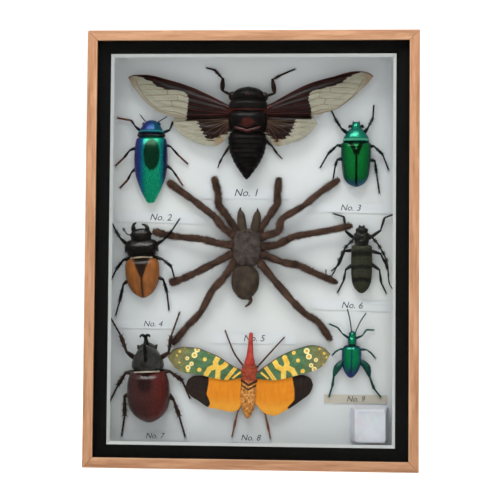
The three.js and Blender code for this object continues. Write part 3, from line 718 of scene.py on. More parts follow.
def lantern_hindwing():
    """Orange with a brown-black outer third."""
    look = Look("lantern_hindwing", Roughness=0.65, Specular_IOR_Level=0.3)
    spot = look.place()
    dark = look.step(look.wobble(look.mark("dark"), spot, 0.7, 0.4), 0.4, 0.6)
    rays = look.noise(look.stretch(spot, (0.9, 0.15, 0.5)), 1.0, 4)
    low = look.step(look.part(spot, "Y"), -8, -16)
    orange = look.ramp(rays, (0.3, rgb(208, 120, 12)), (0.7, rgb(220, 134, 20)))
    orange = look.mix(look.math("MULTIPLY", low, 0.5), orange, rgb(236, 176, 66))
    brown = look.ramp(rays, (0.3, rgb(28, 19, 15)), (0.7, rgb(50, 35, 27)))
    return look.set(Base_Color=look.mix(dark, orange, brown), Normal=look.bump(rays, 0.12, 0.1))


def lantern_trunk():
    """Red-brown in front with black chevrons, golden and felted behind."""
    look = Look("lantern_trunk", Roughness=0.75, Specular_IOR_Level=0.3)
    spot = look.place()
    along = look.part(spot, "Y")
    across = look.math("ABSOLUTE", look.part(spot, "X"))
    cloud = look.noise(spot, 0.9, 4, 0.65)
    red = look.ramp(cloud, (0.3, rgb(104, 38, 26)), (0.7, rgb(176, 76, 48)))
    gold = look.ramp(cloud, (0.34, rgb(128, 74, 30)), (0.5, rgb(190, 122, 54)), (0.64, rgb(222, 172, 104)))
    tone = look.mix(look.step(along, 0.5, -2.5), red, gold)
    slope = look.math("ADD", along, look.math("MULTIPLY", across, -0.55))
    for middle, high in ((-2.4, 0.9), (-4.6, 0.7)):
        mark = look.band(look.wobble(slope, spot, 1.0, 0.8), middle, 0.5 * high, high, 0.9)
        tone = look.mix(mark, tone, rgb(28, 16, 12))
    return look.set(Base_Color=tone, Normal=look.bump(cloud, 0.7, 0.3))


# Frame


def rail_piece(name, length, centre, degrees, looks):
    """A mitred rail with a front lip and worn edges; it lies along its own x, outer edge at y = 0."""
    face, wall, lip = RAIL_FACE, RAIL_WALL, DEPTH - LIP
    profile = [(0, 0), (0, DEPTH), (face, DEPTH), (face, lip), (wall, lip), (wall, 0)]
    end = length / 2 - GAP / 2
    work = bmesh.new()
    rings = [[work.verts.new((way * (end - y) * MM, y * MM, z * MM)) for y, z in profile] for way in (-1, 1)]
    for i in range(len(profile)):
        k = (i + 1) % len(profile)
        work.faces.new((rings[0][i], rings[0][k], rings[1][k], rings[1][i]))
    for ring in rings:
        work.faces.new(ring)
    bmesh.ops.recalc_face_normals(work, faces=work.faces)
    long_edges = [e for e in work.edges if abs(e.verts[0].co.x - e.verts[1].co.x) > 0.02]
    worn = bmesh.ops.bevel(work, geom=long_edges, offset=0.0004, segments=3, profile=0.5, affect="EDGES")
    for strip in worn["faces"]:
        strip.material_index = 1
    mesh = bpy.data.meshes.new(name)
    work.to_mesh(mesh)
    work.free()
    for look in looks:
        mesh.materials.append(look)
    upright = Euler((math.pi / 2, 0, 0)).to_matrix().to_4x4()
    turn = Matrix.Rotation(math.radians(degrees), 4, "Z")
    spot = Matrix.Translation((centre[0] * MM, DEPTH / 2 * MM, (HEIGHT / 2 + centre[1]) * MM))
    place_piece(name, mesh, spot @ upright @ turn, 35)


def rounded_ring(half_x, half_y, corner, z, steps=10):
    """Points round a rectangle with round corners."""
    points = []
    for k, (sx, sy) in enumerate([(1, 1), (-1, 1), (-1, -1), (1, -1)]):
        x, y = sx * (half_x - corner), sy * (half_y - corner)
        for a in np.linspace(k * math.pi / 2, (k + 1) * math.pi / 2, steps):
            points.append((x + corner * math.cos(a), y + corner * math.sin(a), z))
    return points


def tray_piece():
    """A formed tray: flat floor, round inner edge, straight walls and a plain outside."""
    x, y = [side / 2 for side in INNER]
    rings = [rounded_ring(x, y, 1.0, -TRAY_WALL), rounded_ring(x, y, 1.0, TRAY_DEPTH)]
    rings.append(rounded_ring(x - TRAY_WALL, y - TRAY_WALL, TRAY_CORNER, TRAY_DEPTH))
    for a in np.linspace(0, math.pi / 2, 12):
        inset = TRAY_WALL + TRAY_FILLET * (1 - math.cos(a))
        height = TRAY_FILLET * (1 - math.sin(a))
        rings.append(rounded_ring(x - inset, y - inset, TRAY_CORNER + TRAY_WALL - inset, height))
    shape = Shape()
    shape.loft(np.array(rings), 0)
    make_piece("tray", shape, [tray_skin()], on_tray(0, 0), 30)


def holder_piece():
    """A tapered plastic box with a foot, a round top edge and a shallow recess in its top."""
    levels = [
        (9.9, 9.4, 0.2), (9.9, 9.4, 0.8), (9.5, 9.2, 1.1), (9.1, 9.1, 1.6), (7.9, 8.5, 13.2),
        (7.7, 8.3, 13.9),
        (7.4, 8.0, 14.2), (6.4, 7.0, 14.2), (6.2, 6.8, 14.1), (6.0, 6.6, 14.0),
    ]
    shape = Shape()
    shape.loft(np.array([rounded_ring(x, y, 1.6, z, 8) for x, y, z in levels]), 0)
    make_piece("mothball_box", shape, [holder_plastic()], on_tray(59.4, -87.4), 30)


def number_faces(text, size):
    """A plain leaning number as the points and faces of a thin solid."""
    curve = bpy.data.curves.new("number", "FONT")
    curve.body, curve.size, curve.shear, curve.extrude = text, size, 0.25, 0.01
    curve.align_x, curve.align_y, curve.resolution_u = "CENTER", "CENTER", 3
    letters = bpy.data.objects.new("number", curve)
    mesh = bpy.data.meshes.new_from_object(letters)
    points = np.array([v.co[:] for v in mesh.vertices])
    faces = [list(p.vertices) for p in mesh.polygons]
    bpy.data.objects.remove(letters)
    bpy.data.curves.remove(curve)
    bpy.data.meshes.remove(mesh)
    return points, [[f for f in faces if len(f) == n] for n in sorted({len(f) for f in faces})]


def label_piece(number, x, z, width, height, lean, slot, looks):
    """A slightly wavy paper strip with a plain number printed on it."""
    high = lambda across: GAP + 0.14 + 0.03 * np.sin(across * 0.31 + 1.7 * number)
    shape = Shape()
    across = np.linspace(-width / 2, width / 2, 40)
    top, y = high(across), height / 2
    section = [(-y, -0.12), (y, -0.12), (y, 0), (-y, 0)]
    shape.loft(np.array([[(a, side, t + lift) for side, lift in section] for a, t in zip(across, top)]), 0)
    points, faces = number_faces(f"No. {number}", 0.9 * height)
    points[:, 2] += high(points[:, 0])
    shape.add(points, faces, 1)
    make_piece(f"label_{number}", shape, looks, on_tray(x, z, lean), 30)


# Specimens


def seam(depth):
    """A groove down the middle of the wing cases."""
    return lambda x, y: -depth * np.exp(-((x / 0.22) ** 2))


CICADA_DARK = [
    [(-4, 5), (-4, 12), (-9.5, 13), (-19.5, 18), (-30, 22.5), (-40.5, 25.7), (-53.5, 28.4), (-60, 28),
     (-55.5, 26.5), (-52.5, 25), (-49.5, 24), (-47.5, 22), (-42, 20), (-37, 20), (-32, 18.5), (-30.5, 15.5),
     (-31, 10), (-31.5, 4.5)],
    [(4, 5), (4, 12), (8.5, 12.5), (16, 17), (24, 21.6), (31, 25), (41.5, 28.4), (55.5, 31.8), (58, 31.2),
     (50.5, 28), (47.5, 25), (42.5, 23), (36.5, 21.5), (31.5, 20), (30.5, 16), (32, 11.5), (32.5, 6.5)],
    [
        (-4, 8), (-27, 8), (-27, 6.5), (-25.5, 3), (-23.5, -0.5), (-21, -4.5), (-18.5, -5.5), (-11, -2),
        (-4, 0),
    ],
    [(4, 8), (24.5, 8), (24.5, 6), (23.5, 2.5), (21.5, -1.5), (18.5, -4.5), (14.5, -5.5), (10, -2), (4, 0)],
]
CICADA_LEADS = {
    -1: [
        (-6, 9.5), (-9.5, 12), (-19.5, 17), (-30, 21.5), (-40.5, 24.7), (-53.5, 27.4), (-59.5, 27.2),
        (-62, 26),
    ],
    1: [
        (6, 9), (8.5, 11.5), (16, 16), (24, 20.6), (31, 24), (41.5, 27.4), (55.5, 30.8), (60.5, 30.2),
        (63, 28.5),
    ],
}
CICADA_TRAILS = {
    -1: [(-6, 7), (-31.5, 5.6), (-37.5, 6.2), (-45, 8.2), (-50, 11.5), (-55.5, 16.8), (-59.5, 22), (-62, 26)],
    1: [(6, 7.5), (32.5, 8), (41.5, 10.6), (46.5, 12.8), (51.5, 16.2), (56.5, 21), (60.5, 25), (63, 28.5)],
}
CICADA_REAR_LEADS = {
    -1: [(-6, 9), (-29.5, 7.8), (-38, 5.6), (-38.4, 3)],
    1: [(6, 9.5), (26.5, 8.5), (32.5, 8), (35.6, 4.4)],
}
CICADA_REAR_TRAILS = {
    -1: [(-6, 0.5), (-10, -3), (-13, -6.6), (-17, -8.4), (-22, -8), (-29.5, -5.4), (-34.5, -2.2), (-38.4, 3)],
    1: [(6, 0.5), (10.5, -3.5), (15.5, -7.8), (21.5, -6.2), (27, -4.3), (31.5, -0.8), (35.6, 4.4)],
}
CICADA_VEINS = [
    [(-47.5, 22.5), (-51, 22.6), (-56, 22)], [(-41.7, 20), (-48.8, 20.2), (-54.6, 19.5)],
    [(-41.7, 20), (-41.3, 17.7), (-46, 17.2), (-52.4, 16.9)], [(-31, 16.5), (-36.4, 17.6), (-41.3, 17.7)],
    [(-36.4, 17.6), (-35.9, 14.8), (-39.5, 14.4), (-49.3, 14.2)], [(-30.6, 13.2), (-35.9, 14.8)],
    [(-39.5, 14.4), (-38.6, 11.6), (-46.6, 10.9)], [(-31, 10.2), (-38.6, 11.6)],
    [(-31.6, 7.1), (-38.1, 8.8), (-43.5, 9.3)],
    [(-58, 24.5), (-54, 17.5), (-49, 12.4), (-44.5, 9.2), (-37.5, 7.2), (-31.5, 6.6)],
]
CICADA_DARK_VEINS = [
    [(-8, 10.5), (-20, 14.5), (-31, 17)], [(-8, 9), (-20, 11), (-31, 13.2)],
    [(-8, 8.4), (-20, 9), (-31, 10.2)],
    [(-8, 8), (-20, 7.4), (-31.5, 7)], [(-8, 11.3), (-20, 16.6), (-30, 20.8), (-41, 23.6), (-52, 26)],
]
CICADA_REAR_VEINS = [(-38, 4), (-37, 0.5), (-33.5, -3), (-29, -5.6), (-23.5, -7.6), (-18, -8), (-13.5, -6.2)]


def cicada_dark(points):
    gap = np.min([outline_gap(points, area) for area in CICADA_DARK], axis=0)
    low = np.clip((7 - points[:, 1]) / 3, 0.3, 1)
    fingers = low * (0.7 * np.sin(3.7 * points[:, 1]) + 0.4 * np.sin(6.9 * points[:, 1] + 0.4 * points[:, 0]))
    return fade(gap + fingers, 0.9)


def cicada_tint(points):
    """Brown at the wing tips, along the outer margin and on the small rear lobe."""
    tip = np.clip((np.abs(points[:, 0]) - 56) / 6, 0, 0.8)
    margin = np.min([line_gap(points, CICADA_TRAILS[way][1:]) for way in (-1, 1)], axis=0)
    lobe = np.min([np.hypot(points[:, 0] - way * 14.6, points[:, 1] + 5.6) for way in (-1, 1)], axis=0)
    return np.maximum.reduce([tip, 0.55 * fade(margin - 0.5, 0.8), 0.75 * fade(lobe - 2.6, 2.2)])


def mirrored(line):
    """The same line on the right wing, which is raised a little more."""
    return [(-x, y + 0.064 * min(abs(x), 36)) for x, y in line]


def cicada():
    shape = Shape()
    shell, limb, wing, vein, eye, red = range(6)
    head = [(22.2, 0), (21.5, 4.2), (20.2, 6.8), (18.2, 8.4), (16, 9), (14.6, 8.6), (13.4, 0)]
    shape.body(head, [(22.2, 0), (20.5, 4), (17.5, 5.6), (13.4, 4)], 6.5, 4.5, shell)
    shape.ball((0, 20.4, 8.2), (2.6, 1.7, 2.6), shell)
    for way in (-1, 1):
        shape.ball((way * 8.3, 17.2, 7.4), (1.9, 2.4, 2.2), eye)
        shape.ball((way * 0.9, 17.6, 12), (0.4, 0.4, 0.4), red)
    shape.ball((0, 18.8, 11.5), (0.4, 0.4, 0.4), red)
    collar = lambda x, y: 0.14 * np.cos((y - 10.6) * 1.6) - 0.35 * np.exp(-((np.abs(x) - 4) ** 2))
    front = [(16.6, 0), (15.6, 8.4), (13, 9.9), (10.8, 10.5), (9.6, 9.8), (8.4, 0)]
    shape.body(front, [(16.6, 3), (12.5, 6.8), (8.4, 6)], 6.5, 5, shell, relief=collar)
    middle = [(10.4, 0), (9.6, 8.8), (7, 10), (3, 9.9), (0, 8.8), (-1.6, 6.4), (-2.6, 0)]
    shape.body(middle, [(10.4, 4), (6, 7.2), (1, 6.6), (-2.6, 3.5)], 6.5, 5.4, shell, 64, relief=seam(0.2))
    for way in (-1, 1):
        ridge = [(way * 6.6, 1.6, 10.8), (way * 4.4, 0.2, 12.3), (way * 1.8, -0.6, 12.9), (0, -1.2, 12.7)]
        shape.tube(along_line(ridge, 16), 0.7, red, 8)
        root = [(way * 7, 8.6, 9.4), (way * 9.4, 10.6, 8.9), (way * 12, 12.4, 8.5)]
        shape.tube(along_line(root, 10), np.linspace(1.1, 0.5, 10), red, 8)
    tail = [(0, 0), (-1.6, 9), (-5, 9.7), (-10, 9.1), (-15.3, 7.2), (-20.4, 4), (-23.6, 1.6), (-25, 0)]
    rise = [(0, 3), (-4, 5.8), (-12, 5.2), (-20, 3), (-25, 0)]
    shape.body(tail, rise, 6, 5, shell, 150, steps=(2.4, 0.4))
    for way in (-1, 1):
        turned = mirrored if way > 0 else list
        fore = shape.wing(CICADA_LEADS[way], CICADA_TRAILS[way], 7.6, wing, pleats=0.12)
        hind = shape.wing(CICADA_REAR_LEADS[way], CICADA_REAR_TRAILS[way], 6.4, wing, pleats=0.15)
        for line in CICADA_VEINS:
            shape.vein(fore, turned(line), 0.15, vein)
        for line in CICADA_DARK_VEINS:
            shape.vein(fore, turned(line), 0.2, red)
        reach = 0.97 if way < 0 else 0.89
        for x, y in CICADA_REAR_VEINS:
            line = [(-8, 5), (0.5 * (x - 8), 0.5 * (y + 6)), (reach * x, y)]
            shape.vein(hind, [(-way * a, b) for a, b in line], 0.12, vein)
        shape.vein(fore, CICADA_LEADS[way][1:], 0.35, red)
    fore_leg = [0.8, 1.25, 0.7, 0.55]
    for joints in (
        [(-6.5, 17, 5), (-13.6, 20.5, 4.5), (-13.5, 26.5, 4), (-18, 31.5, 2.5), (-22, 32.5, 1.5)],
        [(6, 17, 5), (13.2, 19.5, 4.5), (12, 26.5, 4), (15.5, 29, 2.5), (23, 32.5, 1.5)],
    ):
        shape.leg(joints, fore_leg, limb, spines=3)
    shape.leg([(-6, -3, 4), (-12.5, -13, 3), (-14.4, -16.5, 2), (-15, -18.5, 1.5)], [0.8, 0.6, 0.4], limb)
    shape.leg([(6, -2, 4), (12.5, -7.5, 3), (15, -11, 2), (17.5, -13.5, 1.5)], [0.8, 0.6, 0.4], limb)
    looks = [
        cicada_shell(),
        chitin("cicada_limb", rgb(24, 15, 13), rgb(48, 26, 20), 0.4),
        cicada_wing(),
        chitin("cicada_vein", rgb(84, 66, 46), rgb(112, 90, 66), 0.5),
        chitin("cicada_eye", rgb(20, 16, 14), rgb(40, 32, 28), 0.15),
        chitin("cicada_red", rgb(48, 18, 15), rgb(80, 32, 25), 0.4),
    ]
    marks = {"dark": cicada_dark, "tint": cicada_tint}
    make_piece("cicada", shape, looks, on_tray(-3.1, 60.9, -0.9), marks=marks)


def jewel_beetle():
    shape = Shape()
    shell, limb, foot = range(3)
    front = [(20.6, 0), (20, 2.6), (18.6, 4), (16.8, 5.2), (14.8, 6.3), (13.6, 7), (12.6, 6.6), (11.6, 0)]
    shape.body(front, [(20.6, 0), (18, 3.6), (14.5, 5), (11.6, 3.6)], 3.5, 3, shell)
    collar = [(13.9, 0), (13.4, 6.6), (12.8, 7.3), (12, 6.9), (11.2, 0)]
    shape.body(collar, [(13.9, 2), (12.7, 4.6), (11.2, 3)], 3.4, 2.8, limb, 24)
    wings = [
        (12, 0), (11.5, 6.4), (10.6, 7.7), (6.2, 8.4), (0.5, 8.6), (-4, 8.4), (-7.7, 7.9), (-12.9, 6.2),
        (-16.5, 4.7), (-20, 2.8), (-21.6, 1.9), (-22, 0),
    ]
    rise = [(12, 0), (10.5, 4.4), (4, 6.2), (-6, 5.7), (-15, 3.9), (-22, 0)]
    shape.body(wings, rise, 3.5, 3, shell, 90, 56, relief=seam(0.15))
    for way in (-1, 1):
        shape.ball((way * 3.9, 18.4, 3.6), (0.9, 1.1, 1), limb)
        for x in (0.5, 1.3):
            shape.tube([(way * x, -20.9, 3.8), (way * x, -22.1, 3.6)], [0.4, 0.08], shell, 6)
    for joints in (
        [(-5, 14.5, 3), (-8.5, 17.5, 4), (-10.5, 20.5, 2.5), (-17.5, 22, 1.2)],
        [(5.5, 14, 3), (9.5, 15.5, 4), (11, 20, 2.5), (16.5, 20.5, 1.2)],
        [(-6.5, 7, 3), (-11, 5, 4), (-14, 1.5, 2.5), (-18.5, -2.5, 1.2)],
        [(6.5, 8, 3), (10, 7, 4), (14, 2.5, 2.5), (18.5, -1.5, 1.2)],
        [(-6.5, -3, 3), (-10, -6.5, 4), (-12, -10, 2.5), (-16, -14, 1.2)],
        [(6.5, -1.5, 3), (11, -5, 4.4), (13.5, -8.5, 4.4), (16.5, -13, 4.8)],
    ):
        shape.leg(joints, [0.8, 0.65, 0.6], limb, foot)
    for line in (
        [(-1.5, 18.5, 3.5), (-4.5, 21.5, 3), (-6, 23.5, 3)], [(1.5, 18.5, 3.5), (5.5, 21, 3), (8, 22.5, 3)],
    ):
        shape.tube(along_line(line, 30), 0.27 + 0.06 * np.cos(np.arange(30) * 1.9), limb, 6)
    looks = [
        jewel_shell(),
        chitin("jewel_limb", rgb(13, 14, 17), rgb(28, 28, 32), 0.3),
        chitin("jewel_foot", rgb(66, 34, 26), rgb(104, 58, 42), 0.5),
    ]
    make_piece("jewel_beetle", shape, looks, on_tray(-52.8, 45.9))


def flower_beetle():
    shape = Shape()
    shell, limb = range(2)
    head = [(17, 0), (16.6, 1.9), (15.6, 2.1), (14, 2.4), (12.6, 2.6), (11, 0)]
    shape.body(head, [(17, 0.6), (14, 2.2), (11, 2)], 3.2, 2, shell, 30)
    shield = [(14, 0), (13.4, 3), (12.2, 4.2), (10.4, 5.5), (8.6, 6.4), (6.9, 6.8), (5.9, 0)]
    shape.body(shield, [(14, 0), (12, 3.4), (8, 5), (5.9, 4)], 3.2, 2.6, shell)

    def relief(x, y):
        edge = 0.2 + 2.8 * np.clip((y - 1.2) / 5.2, 0, 1)
        wedge = 0.15 * (np.abs(x) < edge) - 0.25 * np.exp(-(((np.abs(x) - edge) / 0.25) ** 2))
        return np.where(y > 1.2, wedge, -0.3 * np.exp(-((x / 0.22) ** 2)))

    wings = [
        (7.2, 0), (6.7, 6.2), (5.6, 7.6), (1, 7.7), (-2.5, 7.5), (-6, 7.2), (-9.2, 6.8), (-11.4, 6.3),
        (-14.2, 4.6),
        (-15.6, 2.4), (-16.2, 0),
    ]
    rise = [(7.2, 2), (4, 5.4), (-3, 6), (-10, 5), (-14.5, 3), (-16.2, 0)]
    shape.body(wings, rise, 3.2, 2.6, shell, 80, 56, 0.8, relief)
    for way in (-1, 1):
        shape.ball((way * 2.2, 14.6, 3.4), (0.7, 0.8, 0.8), limb)
        feeler = [(way * 1.6, 15.2, 3), (way * 3.2, 15.2, 3), (way * 3.6, 14, 3)]
        shape.tube(along_line(feeler, 10), np.linspace(0.3, 0.65, 10), limb)
        lip = [(way * 0.9, 16, 3.2), (way * 1.5, 16.8, 3.6), (way * 1.5, 17.3, 4)]
        shape.tube(along_line(lip, 8), np.linspace(0.5, 0.2, 8), limb)
    for joints in (
        [(-3.5, 10.5, 3), (-7.5, 13.5, 4), (-10.5, 18.5, 2.5), (-13, 24, 1.2)],
        [(3.5, 10.5, 3), (6, 14, 4), (8.5, 19, 2.5), (9, 25.5, 1.2)],
        [(-6, 4.5, 3), (-9.5, 5, 4), (-14, 1, 2.5), (-18, -6, 1.2)],
        [(6, 4.5, 3), (9, 4.5, 4), (13.5, 0.5, 2.5), (16.5, -7, 1.2)],
        [(-6, -1.5, 3), (-9.5, -2.5, 4.5), (-10.5, -5.5, 4.8), (-11.5, -12, 4.8)],
        [(6, -2, 3), (9.5, -3, 4), (10.5, -9, 2.5), (12, -19, 1.2)],
    ):
        shape.leg(joints, [0.95, 0.75, 0.5], limb, spines=3)
    looks = [flower_shell(), chitin("flower_limb", rgb(10, 16, 18), rgb(20, 36, 38), 0.25)]
    make_piece("flower_beetle", shape, looks, on_tray(52, 48.7))


def stag_beetle():
    shape = Shape()
    shell, limb, pale = range(3)
    jaws = {
        -1: [(-2.8, 15, 3.4), (-3.9, 17.5, 3.6), (-3.6, 19.3, 3.4), (-2.2, 20.3, 3.2)],
        1: [(2.4, 15, 3.4), (3.4, 16.6, 3.6), (2.8, 18.4, 3.4), (0.6, 19.4, 3.2)],
    }
    for way, line in jaws.items():
        shape.tube(along_line(line, 24), np.linspace(1.65, 0.35, 24), limb, 12, 0.8)
        x, y, z = line[1]
        shape.tube([(x, y, z), (x - way * 1.5, y + 0.3, z)], [0.7, 0.1], limb)
        shape.tube([(x, y + 1.2, z), (x - way * 1.2, y + 1.6, z)], [0.5, 0.1], limb)
    dent = lambda x, y: -0.5 * np.exp(-((x / 2.2) ** 2) - ((y - 14.5) / 1.5) ** 2)
    head = [(17.2, 0), (16.6, 3.8), (15.4, 5), (13.6, 5.3), (11.6, 5.2), (10, 0)]
    shape.body(head, [(17.2, 1), (14, 3.4), (10, 3)], 3.2, 2.4, limb, relief=dent)
    shield = [
        (11.8, 0), (11.3, 6.4), (9.9, 8.1), (8.4, 8.5), (6.1, 8.7), (5.2, 7.7), (3.4, 6.9), (2.2, 5.6),
        (1.4, 0),
    ]
    shape.body(shield, [(11.8, 1), (7, 4.6), (1.4, 3)], 3.2, 2.6, limb, 60, square=0.75)
    for way in (-1, 1):
        for y in (8.6, 5.9):
            shape.tube([(way * 7.4, y, 3.6), (way * 8.9, y - 0.7, 3.5)], [0.9, 0.1], limb, 8)
        shape.ball((way * 4.9, 14, 3.6), (0.8, 1, 0.9), limb)
    # Painted highlight: a pale tube along the joint of shield and wing cases stands in for the glint on that
    # edge.
    shape.tube(along_line([(-5.6, 2, 5.4), (0, 2.3, 7.6), (5.6, 2, 5.4)], 24), 0.4, pale, 8)
    wings = [
        (2.2, 0), (1.7, 6.8), (0, 8.3), (-2.6, 8.8), (-6.7, 8.7), (-10.7, 7.8), (-13.8, 6.4), (-16.1, 4.6),
        (-17.6, 2.4), (-18.4, 0),
    ]
    rise = [(2.2, 2), (-1.5, 4.9), (-7, 5.4), (-14, 3.8), (-18.4, 0)]
    shape.body(wings, rise, 3.2, 2.6, shell, 80, 56, 0.85, seam(0.28))
    for joints in (
        [(-6, 8, 3), (-10.5, 12.5, 4), (-13, 16.5, 2.5), (-16, 23, 1.2)],
        [(6, 8, 3), (11.5, 10.5, 5.2), (16, 15, 5.2), (20, 21, 3)],
        [(-5, 2.5, 3), (-9.5, 1.5, 4), (-13.5, -3, 2.5), (-17.5, -10, 1.2)],
        [(5, 2.5, 3), (10.5, 1, 4), (15, -3, 4.2), (16.5, -9.5, 4.8)],
        [(-6, -8, 3), (-10, -11, 4), (-12.5, -19.5, 2.5), (-15, -26.5, 1.2)],
        [(6.5, -7.5, 3), (10.5, -9.5, 4), (12, -16, 2.5), (12.5, -25, 1.2)],
    ):
        shape.leg(joints, [1.0, 0.85, 0.5], limb, spines=2)
    shape.tube(along_line([(-4, 14, 3.2), (-7, 14.5, 3), (-8.4, 16.4, 3)], 20), 0.32, limb)
    for k in range(3):
        shape.tube([(-8.3, 16.2 + 0.5 * k, 3), (-9.4, 16.8 + 0.5 * k, 3)], [0.4, 0.25], limb)
    looks = [
        stag_shell(),
        chitin("stag_limb", rgb(13, 11, 10), rgb(28, 24, 21), 0.3, 2.6),
        # Look of the painted highlight tube.
        chitin("stag_painted_glint", rgb(130, 116, 96), rgb(176, 162, 140), 0.4),
    ]
    make_piece("stag_beetle", shape, looks, on_tray(-56.8, -6.4, 3))


def spider_limb(shape, joints, radii, skin, hair):
    """A thick jointed leg, pinched at each joint, with short fur."""
    path, thick = [], []
    joints = np.asarray(joints, float)
    for i in range(len(joints) - 1):
        t = np.linspace(0, 1, 14, endpoint=i == len(joints) - 2)
        path.append(joints[i] + t[:, None] * (joints[i + 1] - joints[i]))
        swell = 0.84 + 0.22 * np.sin(math.pi * t) ** 0.6
        thick.append((radii[i] + t * (radii[i + 1] - radii[i])) * swell)
    path, thick = np.concatenate(path), np.concatenate(thick)
    blur = np.ones(5) / 5
    for axis in range(3):
        path[2:-2, axis] = np.convolve(path[:, axis], blur, "valid")
    thick = thick * (1 + 0.05 * RANDOM.normal(size=len(thick)))
    thick[-4:] *= [0.98, 0.9, 0.7, 0.35]
    shape.ball(joints[0] + 0.3 * (joints[1] - joints[0]), (2.2, 2.2, 2.1), skin)
    rings = shape.tube(path, thick, skin, 14)
    shape.fur(rings, 26 * len(path), 1.2, hair, 0.5, 0.08)
    shape.fur(rings[-16:], 320, 1.1, hair, 0.5, 0.08)


def tarantula():
    shape = Shape()
    skin, hair, shield, belly, claw, down = range(6)

    def grooves(x, y):
        turn = np.arctan2(x, y - 1)
        away = np.hypot(x, y - 1)
        return -0.45 * np.cos(turn * 6) ** 6 * np.clip(away / 4, 0, 1) - 0.9 * np.exp(-((away / 1.1) ** 2))

    carapace = [
        (13.4, 0), (12.8, 4.8), (11.2, 6.4), (7.6, 7.4), (2.5, 7.5), (-1.5, 6.9), (-5, 4.6), (-6.6, 0),
    ]
    rise = [(13.4, 1.5), (9, 4.3), (3, 4.4), (-4, 3), (-6.6, 0.5)]
    rings = shape.body(carapace, rise, 4.5, 3.5, shield, 60, 60, relief=grooves)
    shape.fur(rings, 500, 0.7, hair, 0.9, 0.04)
    abdomen = [(-5.4, 0), (-6.6, 4.4), (-9.4, 6.6), (-13.2, 7), (-16.8, 6.5), (-20, 4.6), (-22.6, 0)]
    crease = lambda x, y: 0.25 * np.sin(y * 2.1 + x * 0.7) * np.sin(x * 1.3)
    rise = [(-5.4, 1), (-10, 5.4), (-15, 6), (-20, 4), (-22.6, 1)]
    rings = shape.body(abdomen, rise, 4.6, 3.8, belly, 60, 60, relief=crease)
    shape.fur(rings, 1800, 0.9, down, 0.9, 0.045)
    for way in (-1, 1):
        shape.ball((way * 0.8, 11.6, 8.6), (0.45, 0.45, 0.35), claw)
        shape.ball((way * 1.7, 11.2, 8.2), (0.35, 0.4, 0.3), claw)
        jaw = [
            (way * 2.6 + 0.4, 9.5, 5), (way * 3.3 + 0.3, 14, 5.4), (way * 4 + 0.3, 19, 4.6),
            (way * 4.4, 22, 3.6),
        ]
        thick = np.interp(np.linspace(0, 1, 24), [0, 0.35, 0.8, 1], [2.1, 2.4, 2.1, 1.3])
        rings = shape.tube(along_line(jaw, 24), thick, belly, 14)
        shape.fur(rings, 260, 0.8, down)
        fang = [(way * 4.4, 21.4, 4.2), (way * 4.5, 23, 4), (way * 4.2, 24.2, 2.8)]
        shape.tube(along_line(fang, 10), np.linspace(0.95, 0.2, 10), claw)
    tail = [(1.4, -20.8, 4.2), (3.2, -22.8, 3.8), (2.6, -24.4, 3.2), (0.4, -26.4, 2.2)]
    rings = shape.tube(along_line(tail, 20), np.linspace(1.3, 0.35, 20), skin)
    shape.fur(rings, 60, 0.7, hair)
    leg = [1.75, 1.8, 1.7, 1.55, 1.5, 1.6]
    palp = [1.55, 1.7, 1.6, 1.45, 1.7]
    for joints in (
        [(-5, 8, 4.5), (-13, 13.5, 6), (-17, 18.5, 5.5), (-29, 27, 4), (-37, 32, 2.4), (-42.5, 36, 2)],
        [(-5.5, 4.5, 4.5), (-14, 5, 6), (-23, 7, 5.5), (-34, 7.5, 4), (-42.5, 8.5, 2.4), (-49, 10, 2)],
        [(-5.5, 1.5, 4.5), (-16, -5, 6), (-26, -10.5, 4), (-34, -14.5, 2.4), (-39, -16, 2)],
        [
            (-4.5, -1.5, 4.5), (-11, -12.5, 6), (-16.5, -18.5, 5.5), (-22, -30.5, 4), (-29, -38, 2.4),
            (-36, -47.5, 2),
        ],
        [(4.5, 8.5, 4.5), (16, 12.5, 6), (16.5, 19, 5.5), (28, 26.5, 4), (35.5, 33.5, 2.4), (45.5, 41, 2)],
        [(5.5, 4.5, 4.5), (15, 5.5, 6), (23.5, 10.5, 6), (33, 12.5, 5), (42, 14.5, 5), (53, 17.5, 5)],
        [(5.5, 1.5, 4.5), (18.5, -3, 6), (26.5, -4, 4), (35, -7.5, 2.4), (47, -12, 2)],
        [(5, -1.5, 4.5), (14.5, -12, 6), (24.5, -22.5, 5.5), (31, -28.5, 4), (38, -32, 2.4), (45, -41.5, 2)],
    ):
        spider_limb(shape, joints, leg, skin, hair)
    for joints in (
        [(-4, 10, 4), (-11.5, 20, 5), (-16, 25, 4), (-16, 30.5, 3), (-19, 39.5, 2)],
        [(4, 10, 4), (10.5, 20, 5), (14.5, 27, 4), (14, 31, 3), (14.5, 40.5, 2)],
    ):
        spider_limb(shape, joints, palp, skin, hair)
    looks = [
        hair_skin("tarantula_skin", rgb(50, 35, 28), rgb(92, 66, 53)),
        hair_skin("tarantula_hair", rgb(62, 43, 34), rgb(112, 80, 64)),
        hair_skin("tarantula_shield", rgb(50, 42, 40), rgb(92, 80, 75), 0.35),
        hair_skin("tarantula_belly", rgb(54, 45, 37), rgb(84, 71, 58)),
        chitin("tarantula_claw", rgb(14, 10, 9), rgb(36, 24, 20), 0.25),
        hair_skin("tarantula_down", rgb(58, 47, 38), rgb(94, 80, 65)),
    ]
    make_piece("tarantula", shape, looks, on_tray(-3.2, -2.5, -2.3))


